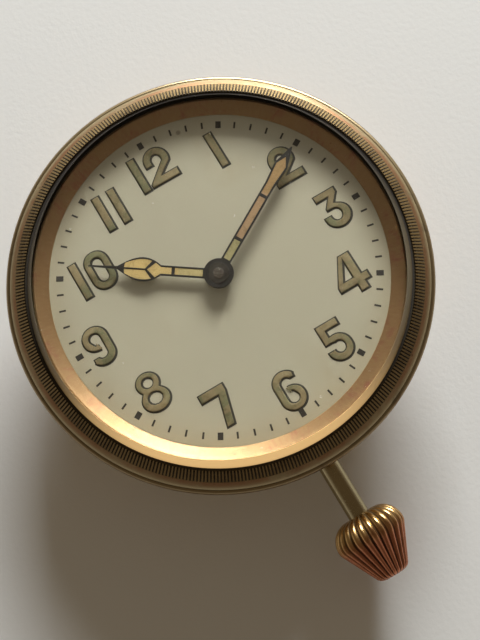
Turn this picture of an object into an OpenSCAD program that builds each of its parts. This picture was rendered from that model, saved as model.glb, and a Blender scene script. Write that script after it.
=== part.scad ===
// Eight-day car clock: brass case, coin-edge bezel, white dial, lever movement wound by a long stem.
// The clock lies on its back with the dial up: +Z leaves the dial, +Y is 12 o'clock, -Y is the stem.
// The origin is on the clock's axis, on the outer face of the rear cover. Lengths are in millimetres.

/* [Bezel and glass] */
// Outside diameter of the bezel's rounded rim
bezel_d = 70; // [68:0.5:76]
// Height of the bezel's rim from its lower edge to the foot of the coin edge
rim_h = 2.65; // [2.2:0.05:3.2]
// Width of the rounded rim outside the coin edge
rim_w = 1.8; // [1.5:0.05:2.4]
// Width of the coin edge
coin_w = 1.1; // [0.8:0.05:1.4]
// Width of the lip between the coin edge and the gasket
lip_w = 0.86; // [0.5:0.02:1.2]
// Rise of the coin edge from its outer to its inner edge
coin_rise = 0.7; // [0.4:0.05:1.2]
// Number of notches round the coin edge
coin_notches = 380; // [200:10:400]
// Depth of one notch
coin_notch = 0.22; // [0.1:0.01:0.35]
// Width of the bevel round the glass
bevel_w = 1.1; // [0.7:0.05:1.6]
// Height of the bevel round the glass
glass_bevel_h = 2.4; // [1.5:0.1:3]
// Height of the upright edge under the bevel
glass_foot_h = 0.4; // [0.3:0.05:0.8]
// Thickness of the flat of the glass
glass_t = 1; // [0.8:0.05:1.4]
// Thickness of the gasket round the foot of the glass
gasket_t = 0.24; // [0.15:0.01:0.4]

/* [Case] */
// Width of the bezel's wall between the glass and the upstand
bezel_wall = 0.6; // [0.5:0.05:0.8]
// Width of the step from the upstand in to the drum
drum_step = 2.4; // [1.8:0.1:3]
// Wall of the drum
drum_wall = 0.9; // [0.6:0.05:1.2]
// How far the flange stays inside the bezel's rim
flange_in = 0.2; // [0.1:0.05:0.8]
// Thickness of the flange
flange_t = 1.2; // [1:0.05:1.6]
// Wall of the upstand that the bezel snaps over
upstand_wall = 1.45; // [1:0.05:1.6]
// Thickness of the rear cover
cover_t = 0.8; // [0.6:0.05:1.2]
// Wall of the rear cover's skirt
cover_wall = 0.8; // [0.6:0.05:1.2]
// Height of the rear cover's skirt
cover_h = 4; // [3:0.1:4.6]

/* [Dial and hands] */
// How far the dial reaches under the reflector ring
dial_lap = 0.5; // [0.3:0.05:0.8]
// Thickness of the dial
dial_t = 0.5; // [0.4:0.05:0.8]
// Width of the reflector ring, from the dial out to the upstand
reflector_w = 2.35; // [1.8:0.05:3]
// Height of the reflector ring
reflector_h = 1.65; // [1.2:0.05:1.65]
// Length of the minute hand from its centre to its point
minute_len = 24.3; // [20:0.1:26]
// Length of the hour hand from its centre to its point
hour_len = 21.2; // [18:0.1:23]
// Width of the bars of both hands
hand_bar_w = 1.7; // [1.2:0.05:1.8]
// Width of the hour hand's leaf
leaf_w = 4; // [3:0.1:5]
// Width of the black edge round each filled opening
hand_edge = 0.3; // [0.2:0.02:0.4]
// Thickness of both hands
hand_t = 0.25; // [0.2:0.01:0.3]
// Diameter of the minute hand's boss
boss_d = 4.9; // [4.2:0.1:6]
// Angle of the hour hand, clockwise from 12
hour_angle = 305; // [0:1:360]
// Angle of the minute hand, clockwise from 12
minute_angle = 60; // [0:1:360]

/* [Movement plates] */
// Margin of the main plate outside the stem's outer bearing
plate_margin = 0.2; // [0.1:0.05:1]
// Thickness of the main plate
plate_t = 3; // [2.5:0.1:3.6]
// Thickness of the bridges
bridge_t = 1.6; // [1.4:0.05:2]
// Room between the main plate and the bridges
train_gap = 5.2; // [5.1:0.05:5.8]
// Room between the main plate and the dial for the motion work
motion_gap = 1.8; // [1.75:0.05:2.2]
// Room between the rear cover and the bridges
rear_gap = 5.1; // [4.4:0.1:7]
// Radius of a bridge's foot
foot_r = 1.6; // [1.3:0.05:1.9]
// Radius of the bosses under the pallet cock
small_foot_r = 0.9; // [0.8:0.05:1.1]

/* [Going train] */
// Teeth on the barrel
barrel_teeth = 76; // [72:1:80]
// Module of the barrel's teeth
barrel_m = 0.25; // [0.24:0.005:0.26]
// Leaves on the intermediate pinion
inter_leaves = 10; // [10:1:12]
// Teeth on the intermediate wheel
inter_teeth = 66; // [65:1:68]
// Module of the intermediate wheel's teeth
inter_m = 0.17; // [0.168:0.001:0.172]
// Leaves on the centre pinion
centre_leaves = 12; // [12:1:14]
// Teeth on the centre wheel
centre_teeth = 80; // [76:1:80]
// Module of the centre wheel's teeth
centre_m = 0.15; // [0.14:0.005:0.15]
// Leaves on the third pinion
third_leaves = 10; // [10:1:12]
// Teeth on the third wheel
third_teeth = 75; // [70:1:78]
// Module of the third wheel's teeth
third_m = 0.13; // [0.12:0.005:0.135]
// Leaves on the fourth pinion
fourth_leaves = 10; // [10:1:12]
// Teeth on the fourth wheel
fourth_teeth = 80; // [72:1:80]
// Module of the fourth wheel's teeth
fourth_m = 0.12; // [0.11:0.005:0.12]
// Leaves on the escape pinion
escape_leaves = 8; // [8:1:9]
// Thickness of a train wheel
wheel_t = 0.3; // [0.25:0.01:0.35]
// Outside height of the barrel
barrel_h = 3.6; // [3.2:0.05:3.65]
// Wall of the barrel
barrel_wall = 0.5; // [0.4:0.05:0.7]
// Turns of the mainspring that lie in the barrel
mainspring_turns = 8; // [5:1:9]
// Thickness of the mainspring's blade
mainspring_t = 0.26; // [0.18:0.01:0.3]
// Radius of the barrel arbor's core
core_r = 2; // [1.8:0.05:2.4]
// Radius of a train arbor
arbor_r = 0.35; // [0.3:0.01:0.38]
// Radius of a train pivot
pivot_r = 0.2; // [0.15:0.01:0.22]
// Radius of the centre arbor
centre_arbor_r = 0.7; // [0.6:0.01:0.75]

/* [Escapement and balance] */
// Radius of the escape wheel over its teeth
escape_r = 3.6; // [3.2:0.05:3.6]
// Teeth on the escape wheel
escape_teeth = 15; // [15:1:15]
// Distance from the pallet arbor to the balance staff
lever_len = 5.6; // [5.4:0.05:5.8]
// Radius of the balance wheel over its screws
balance_r = 7; // [6.2:0.05:7]
// Width of the balance wheel's rim
balance_rim = 0.8; // [0.6:0.05:1]
// Height of the balance wheel
balance_h = 0.9; // [0.7:0.05:1]
// Number of screws round the balance wheel
balance_screws = 12; // [8:2:16]
// Outer radius of the hairspring
hairspring_r = 3; // [2.6:0.05:3.2]
// Turns of the hairspring
hairspring_turns = 7; // [4:1:8]
// Radius of the circle that the impulse pin runs on
impulse_r = 1.2; // [1.1:0.05:1.3]

/* [Motion work] */
// Distance from the centre to the minute wheel's post
motion_arm = 5; // [4.8:0.05:5.2]
// Leaves on the cannon pinion
cannon_leaves = 12; // [12:1:14]
// Teeth on the minute wheel
minute_teeth = 36; // [36:1:40]
// Leaves on the minute pinion
minute_leaves = 10; // [10:1:12]
// Teeth on the hour wheel
hour_teeth = 40; // [36:1:40]
// Leaves on the setting pinion
setting_leaves = 14; // [12:1:14]
// Radius of the cannon pinion's pipe
cannon_r = 1; // [0.95:0.01:1.1]
// Radius of the hour wheel's pipe
hour_pipe_r = 1.45; // [1.4:0.01:1.6]

/* [Winding and setting] */
// Diameter of the long stem outside the case
stem_d = 3.6; // [3:0.05:4]
// Distance from the clock's axis to the crown's inner face
crown_y = 44; // [40:0.5:50]
// Travel of the crown when it is pulled to set the hands
crown_pull = 1.2; // [0.8:0.1:1.2]
// Largest diameter of the crown
crown_d = 12.2; // [10:0.1:13]
// Length of the crown
crown_len = 11; // [9:0.1:13]
// Distance from the crown's inner face to its widest place
crown_shoulder = 3.6; // [3:0.1:4.2]
// Angle between the crown's axis and its tapered side
crown_taper = 27; // [20:0.5:30]
// Number of flutes round the crown
crown_flutes = 24; // [16:1:28]
// Depth of a flute, as a share of the crown's radius there
flute_share = 0.085; // [0.04:0.005:0.12]
// Module of the winding wheels' teeth
winding_m = 0.25; // [0.24:0.005:0.255]
// Teeth on the winding pinion
winding_teeth = 18; // [17:1:18]
// Teeth on the crown wheel
crown_wheel_teeth = 40; // [38:1:41]
// Teeth on the ratchet wheel
ratchet_teeth = 68; // [66:1:68]
// Thickness of the crown wheel and the ratchet wheel
winding_t = 0.9; // [0.7:0.05:1]
// Radius of the sliding clutch
clutch_r = 1.75; // [1.6:0.05:1.8]
// Length of the sliding clutch
clutch_len = 2.2; // [2:0.05:2.3]
// Side of the stem's square
stem_square = 1.35; // [1.2:0.05:1.4]

/* [Screws and clearances] */
// Radius of a bridge screw's head
screw_head_r = 1.2; // [1:0.05:1.4]
// Height of a bridge screw's head
screw_head_h = 0.6; // [0.4:0.05:0.8]
// Radius of a bridge screw's shank
screw_r = 0.6; // [0.4:0.05:0.7]
// Radial clearance of a turning or sliding fit
run = 0.05; // [0.04:0.005:0.06]
// Clearance between pieces that are fitted and stay together
seat = 0.02; // [0.01:0.005:0.03]
// Distance between pieces that pass each other
pass = 0.2; // [0.15:0.01:0.25]

/* [Hidden] */
$fn = 96;

// Heights of the movement, from the rear cover to the dial
bridge_z = cover_t + rear_gap;
bridge_top = bridge_z + bridge_t;
plate_z = bridge_top + train_gap;
plate_top = plate_z + plate_t;
dial_z = plate_top + motion_gap + dial_t;
// Radii of the bezel and the glass, from the rim inwards
rim_r = bezel_d / 2;
coin_r = rim_r - rim_w;
coin_in_r = coin_r - coin_w;
glass_seat_r = coin_in_r - lip_w;
glass_r = glass_seat_r - gasket_t;
glass_flat_r = glass_r - bevel_w;
ledge_w = 0.65;
ledge_r = glass_r - ledge_w;
// Radii of the case, under the bezel
upstand_r = glass_r + bezel_wall;
upstand_bore_r = upstand_r - upstand_wall;
drum_r = upstand_r - drum_step;
drum_bore_r = drum_r - drum_wall;
flange_r = rim_r - flange_in;
cover_r = drum_r + run + cover_wall;
// Radii of the reflector ring and the dial, in the case
reflector_out_r = upstand_bore_r - 0.1;
reflector_r = reflector_out_r - reflector_w;
dial_r = reflector_r + dial_lap;
// Heights of the case and the bezel, worked out from the dial
rim_drop = 2.4;
bezel_z = dial_z - rim_drop;
coin_z = bezel_z + rim_h;
flange_top = bezel_z - 0.1;
flange_z = flange_top - flange_t;
upstand_top = dial_z - 0.1;
ledge_z = dial_z + 0.45;
ledge_t = 0.4;
glass_z = ledge_z + gasket_t;
glass_top = glass_z + glass_foot_h + glass_bevel_h;
ring_seat_z = dial_z - dial_t - 1.1;
rim_edge_r = 0.7;
flange_edge_r = 0.5;
ring_flange_r = upstand_bore_r - run;
ring_lip_t = 0.85;
ring_dial_r = dial_r - 2.2;
dial_foot_r = 0.5;
dial_foot_angles = [120, 300];
knife_slot_w = 6;
knife_slot_h = 0.8;
// Levels of the hands above the dial
hour_hand_z = dial_z + 0.95;
minute_hand_z = hour_hand_z + hand_t + 0.5;
pin_top = minute_hand_z + hand_t + 0.3;
boss_r = boss_d / 2;
collet_r = boss_r - 0.75;
pin_r = 0.65;
hub_r = cannon_r - 0.15;
hour_hub_r = boss_r - 0.1;

// A point at a distance and an angle from the origin
function polar(r, a) = [r * cos(a), r * sin(a)];
// The pitch radius of n teeth of module m
function pitch(n, m) = n * m / 2;
// The direction from one point to another, in degrees
function heading(p, q) = atan2(q[1] - p[1], q[0] - p[0]);
// The point at distance d from p and e from q, on the left of the way from p to q when side is 1
function meet(p, d, q, e, side) =
  let (gap = norm(q - p), turn = acos((d * d + gap * gap - e * e) / (2 * d * gap)))
  p + polar(d, heading(p, q) + side * turn);
// Points along an oval from angle a to angle b
function oval(x, y, rx, ry, a, b, n = 8) =
  [for (i = [0:n]) let (t = a + (b - a) * i / n) [x + rx * cos(t), y + ry * sin(t)]];
// The angle of a tooth of the driven gear that lets it mesh with a driver whose tooth stands at turn
function mesh_turn(p, n, turn, q, k) =
  let (way = heading(p, q), ahead = (turn - way) * n / 360)
  way + 180 + (0.5 - ahead) * 360 / k;
// The outline of a gear: n teeth of module m, w modules thick on the pitch circle, one of them at turn
function gear(n, m, w, tip, root, turn) =
  let (r = pitch(n, m), half = w * m / 2 / r * 180 / PI, top = r + tip * m, foot = r - root * m)
  [for (i = [0:n - 1]) let (a = turn + i * 360 / n) each [
    polar(foot, a - half), polar(r, a - half), polar(top, a - half * 0.4),
    polar(top, a + half * 0.4), polar(r, a + half), polar(foot, a + half)]];
// A flat spiral band from radius a to radius b
function spiral(a, b, turns, t, steps) =
  let (n = round(turns * steps), at = [for (i = [0:n]) [a + (b - a) * i / n, i * 360 / steps]])
  concat([for (p = at) polar(p[0] + t / 2, p[1])], [for (i = [n:-1:0]) polar(at[i][0] - t / 2, at[i][1])]);

// Proportions of the teeth: wheels drive pinions, whose leaves are thinner
wheel_w = 1.4;
wheel_tip = 0.85;
wheel_root = 1.1;
pinion_w = 0.95;
pinion_tip = 0.55;
pinion_root = 1.25;
// The escape pinion and the motion work take their modules from their distances
escape_m = fourth_m;
motion_m = motion_arm * 2 / (cannon_leaves + minute_teeth);
hour_m = motion_arm * 2 / (minute_leaves + hour_teeth);

// Places of the arbors, seen from the dial, from their centre distances
centre = [0, 0];
barrel_angle = 195;
barrel_gap = 0.9;
barrel_at = polar(
  pitch(barrel_teeth, barrel_m) + barrel_m + pitch(centre_leaves, inter_m) + barrel_gap, barrel_angle);
inter_at = meet(centre, pitch(inter_teeth + centre_leaves, inter_m),
  barrel_at, pitch(barrel_teeth + inter_leaves, barrel_m), -1);
third_angle = -20;
third_at = polar(pitch(centre_teeth + third_leaves, centre_m), third_angle);
fourth_angle = 10;
fourth_at = third_at + polar(pitch(third_teeth + fourth_leaves, third_m), fourth_angle);
minute_at = [0, -motion_arm];
setting_at = minute_at - [0, pitch(minute_teeth + setting_leaves, motion_m)];
winding_reach = pitch(crown_wheel_teeth + ratchet_teeth, winding_m);
crown_wheel_at = [0, barrel_at[1] - sqrt(pow(winding_reach, 2) - pow(barrel_at[0], 2))];

// Levels of the train, under the main plate
centre_wheel_z = plate_z - pass - wheel_t;
centre_pinion_h = 0.8;
inter_wheel_z = centre_wheel_z - 0.25 - wheel_t;
barrel_top = inter_wheel_z - 0.35;
barrel_z = barrel_top - barrel_h;
barrel_tooth_h = 1;
third_wheel_z = inter_wheel_z - 1.05;
fourth_wheel_z = third_wheel_z - 1.3;
escape_wheel_z = plate_z - 0.8 - wheel_t;
pinion_h = 1.3;
lever_z = escape_wheel_z - 0.1;
lever_t = 0.5;
pallet_cock_t = 1;
pallet_cock_z = lever_z - 0.6 - pallet_cock_t;
balance_z = pallet_cock_z - 0.3 - balance_h;
hairspring_h = 0.4;
hairspring_z = bridge_top + 0.35;
roller_t = 0.4;
roller_z = lever_z - pass - roller_t;
// Levels of the winding wheels, the stem and the motion work
winding_z = bridge_z - run - winding_t;
winding_mesh = 0.1;
winding_r = pitch(winding_teeth, winding_m);
stem_z = winding_z + winding_t + winding_r - winding_mesh;
minute_wheel_z = plate_top + 0.15;
motion_t = 0.4;
minute_pinion_h = 0.8;
hour_wheel_z = minute_wheel_z + motion_t + 0.35;
hour_pipe_top = hour_hand_z + hand_t;
setting_z = stem_z + clutch_r + 0.12;
setting_t = 0.6;
setting_m = 0.2;
setting_teeth = 20;

// Places along the stem, as distances from the clock's axis
pinion_y = -crown_wheel_at[1] + pitch(crown_wheel_teeth, winding_m) - winding_m * 1.1 + run;
pinion_len = 2.1;
clutch_y = pinion_y - 0.1;
stem_end = 5.6;
stem_pivot_r = 0.4;
stem_square_y = clutch_y - clutch_len - 0.8;
stem_r = 1;
groove_y = pinion_y + pinion_len + 0.9;
groove_w = 1.2;
groove_r = 0.65;
stem_bearing_r = 1.3;
stem_step_y = drum_bore_r - 0.8;
rod_r = stem_d / 2;
tube_r = rod_r + 0.8;
crown_depth = 6;
key_w = 0.5;
key_h = 0.5;
keys = 6;
clutch_travel = crown_pull * 0.75;
clutch_groove_w = 1;
clutch_groove_r = clutch_r - 0.45;
clutch_groove_y = clutch_y - clutch_len / 2 - clutch_groove_w / 2;
block_in_y = stem_end + 0.8;
block_t = 1.4;
block_gap = 1.48;
block_out_y = groove_y + groove_w + block_gap;
bearing_t = 0.9;

// The main plate reaches past the stem's outer bearing
plate_r = block_out_y + bearing_t + plate_margin;
ring_lip_r = plate_r - 0.8;
dial_foot_arm = plate_r - 1.8;

// Places of the balance, the escape wheel and the pallets
balance_angle = 50;
balance_at = polar(plate_r - balance_r - 1.5, balance_angle);
pallet_arm = escape_r / cos(30);
escape_at = meet(fourth_at, pitch(fourth_teeth + escape_leaves, fourth_m),
  balance_at, pallet_arm + lever_len, -1);
lever_way = heading(escape_at, balance_at);
pallet_at = escape_at + polar(pallet_arm, lever_way);

// Brass, steel and other finishes, close to the photographed clock
gold = [0.72, 0.55, 0.3];
brass = [0.8, 0.66, 0.36];
copper = [0.66, 0.44, 0.27];
steel = [0.62, 0.62, 0.6];
blued = [0.2, 0.24, 0.4];
ruby = [0.7, 0.1, 0.2];

// A cylinder that stands at a point of the movement, from height a to height b
module post(at, r, a, b) {
  translate([at[0], at[1], a])
    cylinder(r = r, h = b - a);
}

// A round length of the stem, between two distances from the clock's axis
module rod(r, a, b) {
  translate([0, -a, stem_z])
    rotate([90, 0, 0])
      cylinder(r = r, h = b - a);
}

// A turned ring or tube from its half section
module turned(points) {
  rotate_extrude()
    polygon(points);
}

// A flat piece of thickness t whose underside is at z
module flat(z, t) {
  translate([0, 0, z])
    linear_extrude(t)
      children();
}

// The case: a drum with a flange in front and an upstand that carries the bezel
module case_body() {
  color(gold)
    difference() {
      turned(concat(
        [[drum_bore_r, cover_t + pass], [drum_bore_r, ring_seat_z], [upstand_bore_r, ring_seat_z],
          [upstand_bore_r, upstand_top], [upstand_r, upstand_top], [upstand_r, flange_top]],
        oval(flange_r - flange_edge_r, flange_top - flange_edge_r, flange_edge_r, flange_edge_r, 90, 0),
        oval(flange_r - flange_edge_r, flange_z + flange_edge_r, flange_edge_r, flange_edge_r, 0, -90),
        [[drum_r, flange_z], [drum_r, cover_t + pass]]));
      rod(tube_r + seat, drum_bore_r - 2, drum_r + 1);
    }
}

// The bush in the drum that guides the long stem
module stem_tube() {
  color(gold)
    difference() {
      union() {
        rod(tube_r, drum_bore_r - 0.6, drum_r + 0.9);
        rod(tube_r + 0.7, drum_r + seat, drum_r + 0.9);
      }
      rod(rod_r + run, drum_bore_r - 1, drum_r + 2);
    }
}

// The snap-on rear cover, with a slot for a case knife at 12 o'clock
module rear_cover() {
  edge = 0.6;
  color(gold)
    difference() {
      turned(concat(
        [[0, 0]],
        oval(cover_r - edge, edge, edge, edge, -90, 0, 5),
        [[cover_r, cover_h], [drum_r + run, cover_h], [drum_r + run, cover_t], [0, cover_t]]));
      translate([-knife_slot_w / 2, drum_r - 1, cover_h - knife_slot_h])
        cube([knife_slot_w, 3, knife_slot_h + 1]);
    }
}

// The bezel: a rounded rim outside, the seat of the coin edge on top and the ledge of the glass inside
module bezel() {
  lip_z = coin_z + coin_rise + 0.05;
  color(gold)
    turned(concat(
      [[upstand_r + run, bezel_z]],
      oval(rim_r - rim_edge_r, bezel_z + rim_edge_r, rim_edge_r, rim_edge_r, -90, 0),
      oval(coin_r, bezel_z + rim_edge_r, rim_r - coin_r, rim_h - rim_edge_r, 5, 90, 14),
      [[coin_in_r, coin_z], [coin_in_r, coin_z + coin_rise], [glass_seat_r, lip_z],
        [glass_seat_r, ledge_z], [ledge_r, ledge_z], [ledge_r, ledge_z - ledge_t],
        [upstand_r + run, ledge_z - ledge_t]]));
}

// The coin edge: a sloping band with a notch between each pair of teeth
module coin_edge() {
  n = coin_notches;
  in_r = coin_in_r + seat;
  out_r = coin_r;
  low = coin_z + seat;
  high = coin_z + coin_rise;
  inner = [for (i = [0:2 * n - 1]) let (p = polar(in_r, i * 180 / n))
    [p[0], p[1], high - (i % 2) * coin_notch]];
  outer = [for (i = [0:2 * n - 1]) let (p = polar(out_r - (i % 2) * coin_notch, i * 180 / n))
    [p[0], p[1], low]];
  hidden = [for (i = [0:n - 1]) let (p = polar(in_r, i * 360 / n)) [p[0], p[1], low]];
  faces = concat(
    [for (i = [0:2 * n - 1]) let (j = (i + 1) % (2 * n)) each [[i, j, 2 * n + i], [j, 2 * n + j, 2 * n + i]]],
    [for (k = [0:n - 1]) let (
        a = 2 * k, b = 2 * k + 1, c = (2 * k + 2) % (2 * n), h = 4 * n + k,
        g = 4 * n + (k + 1) % n, o = 2 * n)
      each [[h, o + a, o + b], [h, o + b, o + c], [h, o + c, g], [h, b, a], [h, c, b], [h, g, c]]]);
  color(gold)
    polyhedron(points = concat(inner, outer, hidden), faces = faces);
}

// The glass: a flat top with a bevel all round, hollow underneath
module glass() {
  top_r = glass_flat_r;
  under = glass_top - glass_t;
  color([0.85, 0.9, 0.92, 0.35])
    turned([[0, under], [top_r - 0.6, under], [glass_r - 0.9, under - 0.75], [glass_r - 0.6, glass_z],
      [glass_r, glass_z], [glass_r, glass_z + glass_foot_h], [top_r, glass_top], [0, glass_top]]);
}

// The dark gasket between the glass and the bezel
module glass_gasket() {
  foot_top = glass_z + glass_foot_h;
  color([0.1, 0.1, 0.09])
    turned([[ledge_r, ledge_z], [glass_seat_r, ledge_z], [glass_seat_r, foot_top],
      [glass_r, foot_top], [glass_r, glass_z], [ledge_r, glass_z]]);
}

// The gilt ring that slopes from the dial up to the glass and clamps the dial's edge
module reflector_ring() {
  out_r = reflector_out_r;
  ring_top = dial_z - dial_t;
  edge_r = dial_r + 0.1;
  ring_edge_t = 0.25;
  color(copper)
    turned([[reflector_r, dial_z + seat], [out_r - ring_edge_t, dial_z + reflector_h],
      [out_r, dial_z + reflector_h], [out_r, ring_top], [edge_r, ring_top], [edge_r, dial_z + seat]]);
}

// The white dial with the two feet that locate it in the main plate
module dial_plate() {
  color([0.9, 0.88, 0.8])
    union() {
      difference() {
        post(centre, dial_r, dial_z - dial_t, dial_z);
        post(centre, hour_pipe_r + 0.15, dial_z - 1, dial_z + 1);
      }
      for (a = dial_foot_angles)
        post(polar(dial_foot_arm, a), dial_foot_r, plate_top - 2.5, dial_z - dial_t);
    }
}

// The brass ring that holds the movement in the case
module movement_ring() {
  top = dial_z - dial_t - seat;
  out_r = drum_bore_r - run;
  color(brass)
    difference() {
      turned([[plate_r + run, plate_z], [out_r, plate_z], [out_r, ring_seat_z + seat],
        [ring_flange_r, ring_seat_z + seat], [ring_flange_r, top], [ring_dial_r, top],
        [ring_dial_r, plate_top + run + ring_lip_t], [ring_lip_r, plate_top + run + ring_lip_t],
        [ring_lip_r, plate_top + run], [plate_r + run, plate_top + run]]);
      for (p = clamp_places)
        post(p, screw_r + seat, plate_z - 1, plate_z + screw_bite + pass);
    }
}

// The clamps that hold the main plate in its ring, and their places
clamp_angles = [20, 160];
clamp_t = 0.6;
clamp_w = 3.2;
clamp_share = 0.4;
clamp_arm = plate_r + clamp_share * (drum_bore_r - plate_r);
clamp_places = [for (a = clamp_angles) polar(clamp_arm, a)];
screw_bite = 1.8;
module case_clamps() {
  under = plate_z - seat - clamp_t;
  color(steel)
    for (a = clamp_angles)
      rotate([0, 0, a])
        difference() {
          union() {
            translate([plate_r - 1.6, -clamp_w / 2, under])
              cube([clamp_arm - plate_r + 1.6, clamp_w, clamp_t]);
            post([clamp_arm, 0], clamp_w / 2, under, under + clamp_t);
          }
          post([clamp_arm, 0], screw_r + seat, under - 1, plate_z);
        }
}

// Shapes of the hands, pointing at 12: openings first, as the luminous filling has the same outline
bar = hand_bar_w / 2;
slit = bar - hand_edge;
hand_rib = 0.27;
point_w = 0.1;
minute_ribs = [6.45, 14.7];
minute_wide_y = minute_len - 3.6;
minute_wide = bar + 0.3;
module minute_openings() {
  start = boss_r + 0.15;
  translate([-slit, start])
    square([2 * slit, minute_ribs[0] - hand_rib - start]);
  translate([-slit, minute_ribs[0] + hand_rib])
    square([2 * slit, minute_ribs[1] - minute_ribs[0] - 2 * hand_rib]);
  polygon([[-slit, minute_ribs[1] + hand_rib], [slit, minute_ribs[1] + hand_rib], [slit, minute_wide_y - 3.6],
    [minute_wide - hand_edge, minute_wide_y], [0, minute_wide_y + 1.6],
    [hand_edge - minute_wide, minute_wide_y], [-slit, minute_wide_y - 3.6]]);
}

// The minute hand: a black frame with a swelling before its point
module minute_hand() {
  color([0.1, 0.11, 0.1])
    rotate([0, 0, -minute_angle])
      flat(minute_hand_z, hand_t)
        difference() {
          union() {
            circle(boss_r);
            polygon([[-bar, 0], [bar, 0], [bar, minute_wide_y - 3.8], [minute_wide, minute_wide_y],
              [point_w, minute_len], [-point_w, minute_len], [-minute_wide, minute_wide_y],
              [-bar, minute_wide_y - 3.8]]);
          }
          circle(collet_r + seat);
          minute_openings();
        }
}

// The luminous filling of the minute hand
module minute_hand_lume() {
  color([0.72, 0.62, 0.38])
    rotate([0, 0, -minute_angle])
      flat(minute_hand_z + 0.03, hand_t - 0.06)
        minute_openings();
}

// The steel collet that grips the cannon pinion, seen in the middle of the boss
module minute_hand_collet() {
  color(steel)
    difference() {
      post(centre, collet_r, minute_hand_z + seat, minute_hand_z + hand_t + 0.1);
      post(centre, hub_r + seat, minute_hand_z - 1, minute_hand_z + 2);
    }
}

// The hour hand's leaf: half its width at a height, for a leaf of a given half width
leaf_start = 8.7;
leaf_end = hour_len - 4.7;
leaf_swell = 0.9;
leaf_neck = 0.25;
function leaf_side(y, w) =
  leaf_neck + (w - leaf_neck) * sin(180 * pow((y - leaf_start) / (leaf_end - leaf_start), leaf_swell));
function leaf_curve(w, a, b, side, n = 10) =
  [for (i = [0:n]) let (y = a + (b - a) * i / n) [side * leaf_side(y, w), y]];
hour_rib = 7.4;
rib_w = 0.13;
leaf_fork = leaf_start + 3.3;
module hour_openings() {
  start = boss_r + 0.15;
  inner = leaf_w / 2 - hand_edge;
  low = leaf_start + 2.2;
  high = leaf_end - 1.2;
  translate([-slit, start])
    square([2 * slit, hour_rib - hand_rib - start]);
  polygon([[-slit, hour_rib + hand_rib], [slit, hour_rib + hand_rib], [slit, leaf_start + 0.7],
    [inner * 0.72, leaf_start + 1.6], [0, leaf_fork - 0.35], [-inner * 0.72, leaf_start + 1.6],
    [-slit, leaf_start + 0.7]]);
  for (side = [-1, 1])
    polygon(concat([[side * rib_w, leaf_fork]], leaf_curve(inner, low, high, side),
      [[side * rib_w, high + 0.1]]));
}

// The hour hand: a black frame that opens into a ribbed leaf and runs out in a needle
module hour_hand() {
  color([0.1, 0.11, 0.1])
    rotate([0, 0, -hour_angle])
      flat(hour_hand_z, hand_t)
        difference() {
          union() {
            circle(hour_hub_r);
            translate([-bar, 0])
              square([2 * bar, leaf_start + 1]);
            polygon(concat(leaf_curve(leaf_w / 2, leaf_start + 0.8, leaf_end, 1, 14),
              [[point_w, hour_len], [-point_w, hour_len]],
              leaf_curve(leaf_w / 2, leaf_end, leaf_start + 0.8, -1, 14)));
          }
          circle(hour_pipe_r + seat);
          hour_openings();
        }
}

// The luminous filling of the hour hand
module hour_hand_lume() {
  color([0.72, 0.62, 0.38])
    rotate([0, 0, -hour_angle])
      flat(hour_hand_z + 0.03, hand_t - 0.06)
        hour_openings();
}

// The cannon pinion: its leaves drive the motion work and its top carries the minute hand
module cannon_pinion() {
  low = minute_wheel_z - 0.05;
  color(steel)
    difference() {
      union() {
        flat(low, motion_t + 0.25)
          polygon(gear(cannon_leaves, motion_m, pinion_w, pinion_tip, pinion_root, 0));
        post(centre, cannon_r, low + motion_t, minute_hand_z);
        post(centre, hub_r, minute_hand_z - 1, minute_hand_z + hand_t + 0.1);
        post(centre, pin_r, minute_hand_z, pin_top);
      }
      post(centre, pin_r - 0.2 + seat, plate_top, minute_hand_z - 0.2);
    }
}

// The hour wheel, whose pipe carries the hour hand
module hour_wheel() {
  turn = mesh_turn(minute_at, minute_leaves, 0, centre, hour_teeth);
  color(brass)
    difference() {
      union() {
        flat(hour_wheel_z, motion_t)
          polygon(gear(hour_teeth, hour_m, wheel_w, wheel_tip, wheel_root, turn));
        post(centre, hour_pipe_r, hour_wheel_z, hour_pipe_top);
      }
      post(centre, cannon_r + run, hour_wheel_z - 1, hour_pipe_top + 1);
    }
}

// The minute wheel and its pinion, one piece that turns on a post of the main plate
minute_turn = mesh_turn(centre, cannon_leaves, 0, minute_at, minute_teeth);
minute_post_r = 0.45;
module minute_wheel() {
  color(brass)
    difference() {
      union() {
        translate([minute_at[0], minute_at[1], 0])
          flat(minute_wheel_z, motion_t)
            polygon(gear(minute_teeth, motion_m, wheel_w, wheel_tip, wheel_root, minute_turn));
        translate([minute_at[0], minute_at[1], 0])
          flat(minute_wheel_z, motion_t + minute_pinion_h)
            polygon(gear(minute_leaves, hour_m, pinion_w, pinion_tip, pinion_root, 0));
      }
      post(minute_at, minute_post_r + run, plate_top, dial_z);
    }
}

// The setting wheel: the clutch turns its lower wheel, and its upper leaves turn the minute wheel
setting_arbor_r = 0.6;
module setting_wheel() {
  turn = mesh_turn(minute_at, minute_teeth, minute_turn, setting_at, setting_leaves);
  color(steel)
    translate([setting_at[0], setting_at[1], 0])
      union() {
        flat(setting_z, setting_t)
          polygon(gear(setting_teeth, setting_m, wheel_w, wheel_tip, wheel_root, 0));
        post(centre, setting_arbor_r, setting_z, minute_wheel_z + motion_t);
        flat(minute_wheel_z, motion_t)
          polygon(gear(setting_leaves, motion_m, pinion_w, pinion_tip, pinion_root, turn));
      }
}

// Feet of the bridges, each held by one bridge screw
foot_arm = plate_r - 2.4;
barrel_feet = [for (a = [95, 128, 245]) polar(foot_arm, a)];
train_feet = [polar(foot_arm, -15), polar(foot_arm, -50), polar(12.8, -50)];
cock_foot = polar(foot_arm, 80);
cock_foot_r = foot_r + 0.4;
screw_places = concat(barrel_feet, train_feet, [cock_foot]);
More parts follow.
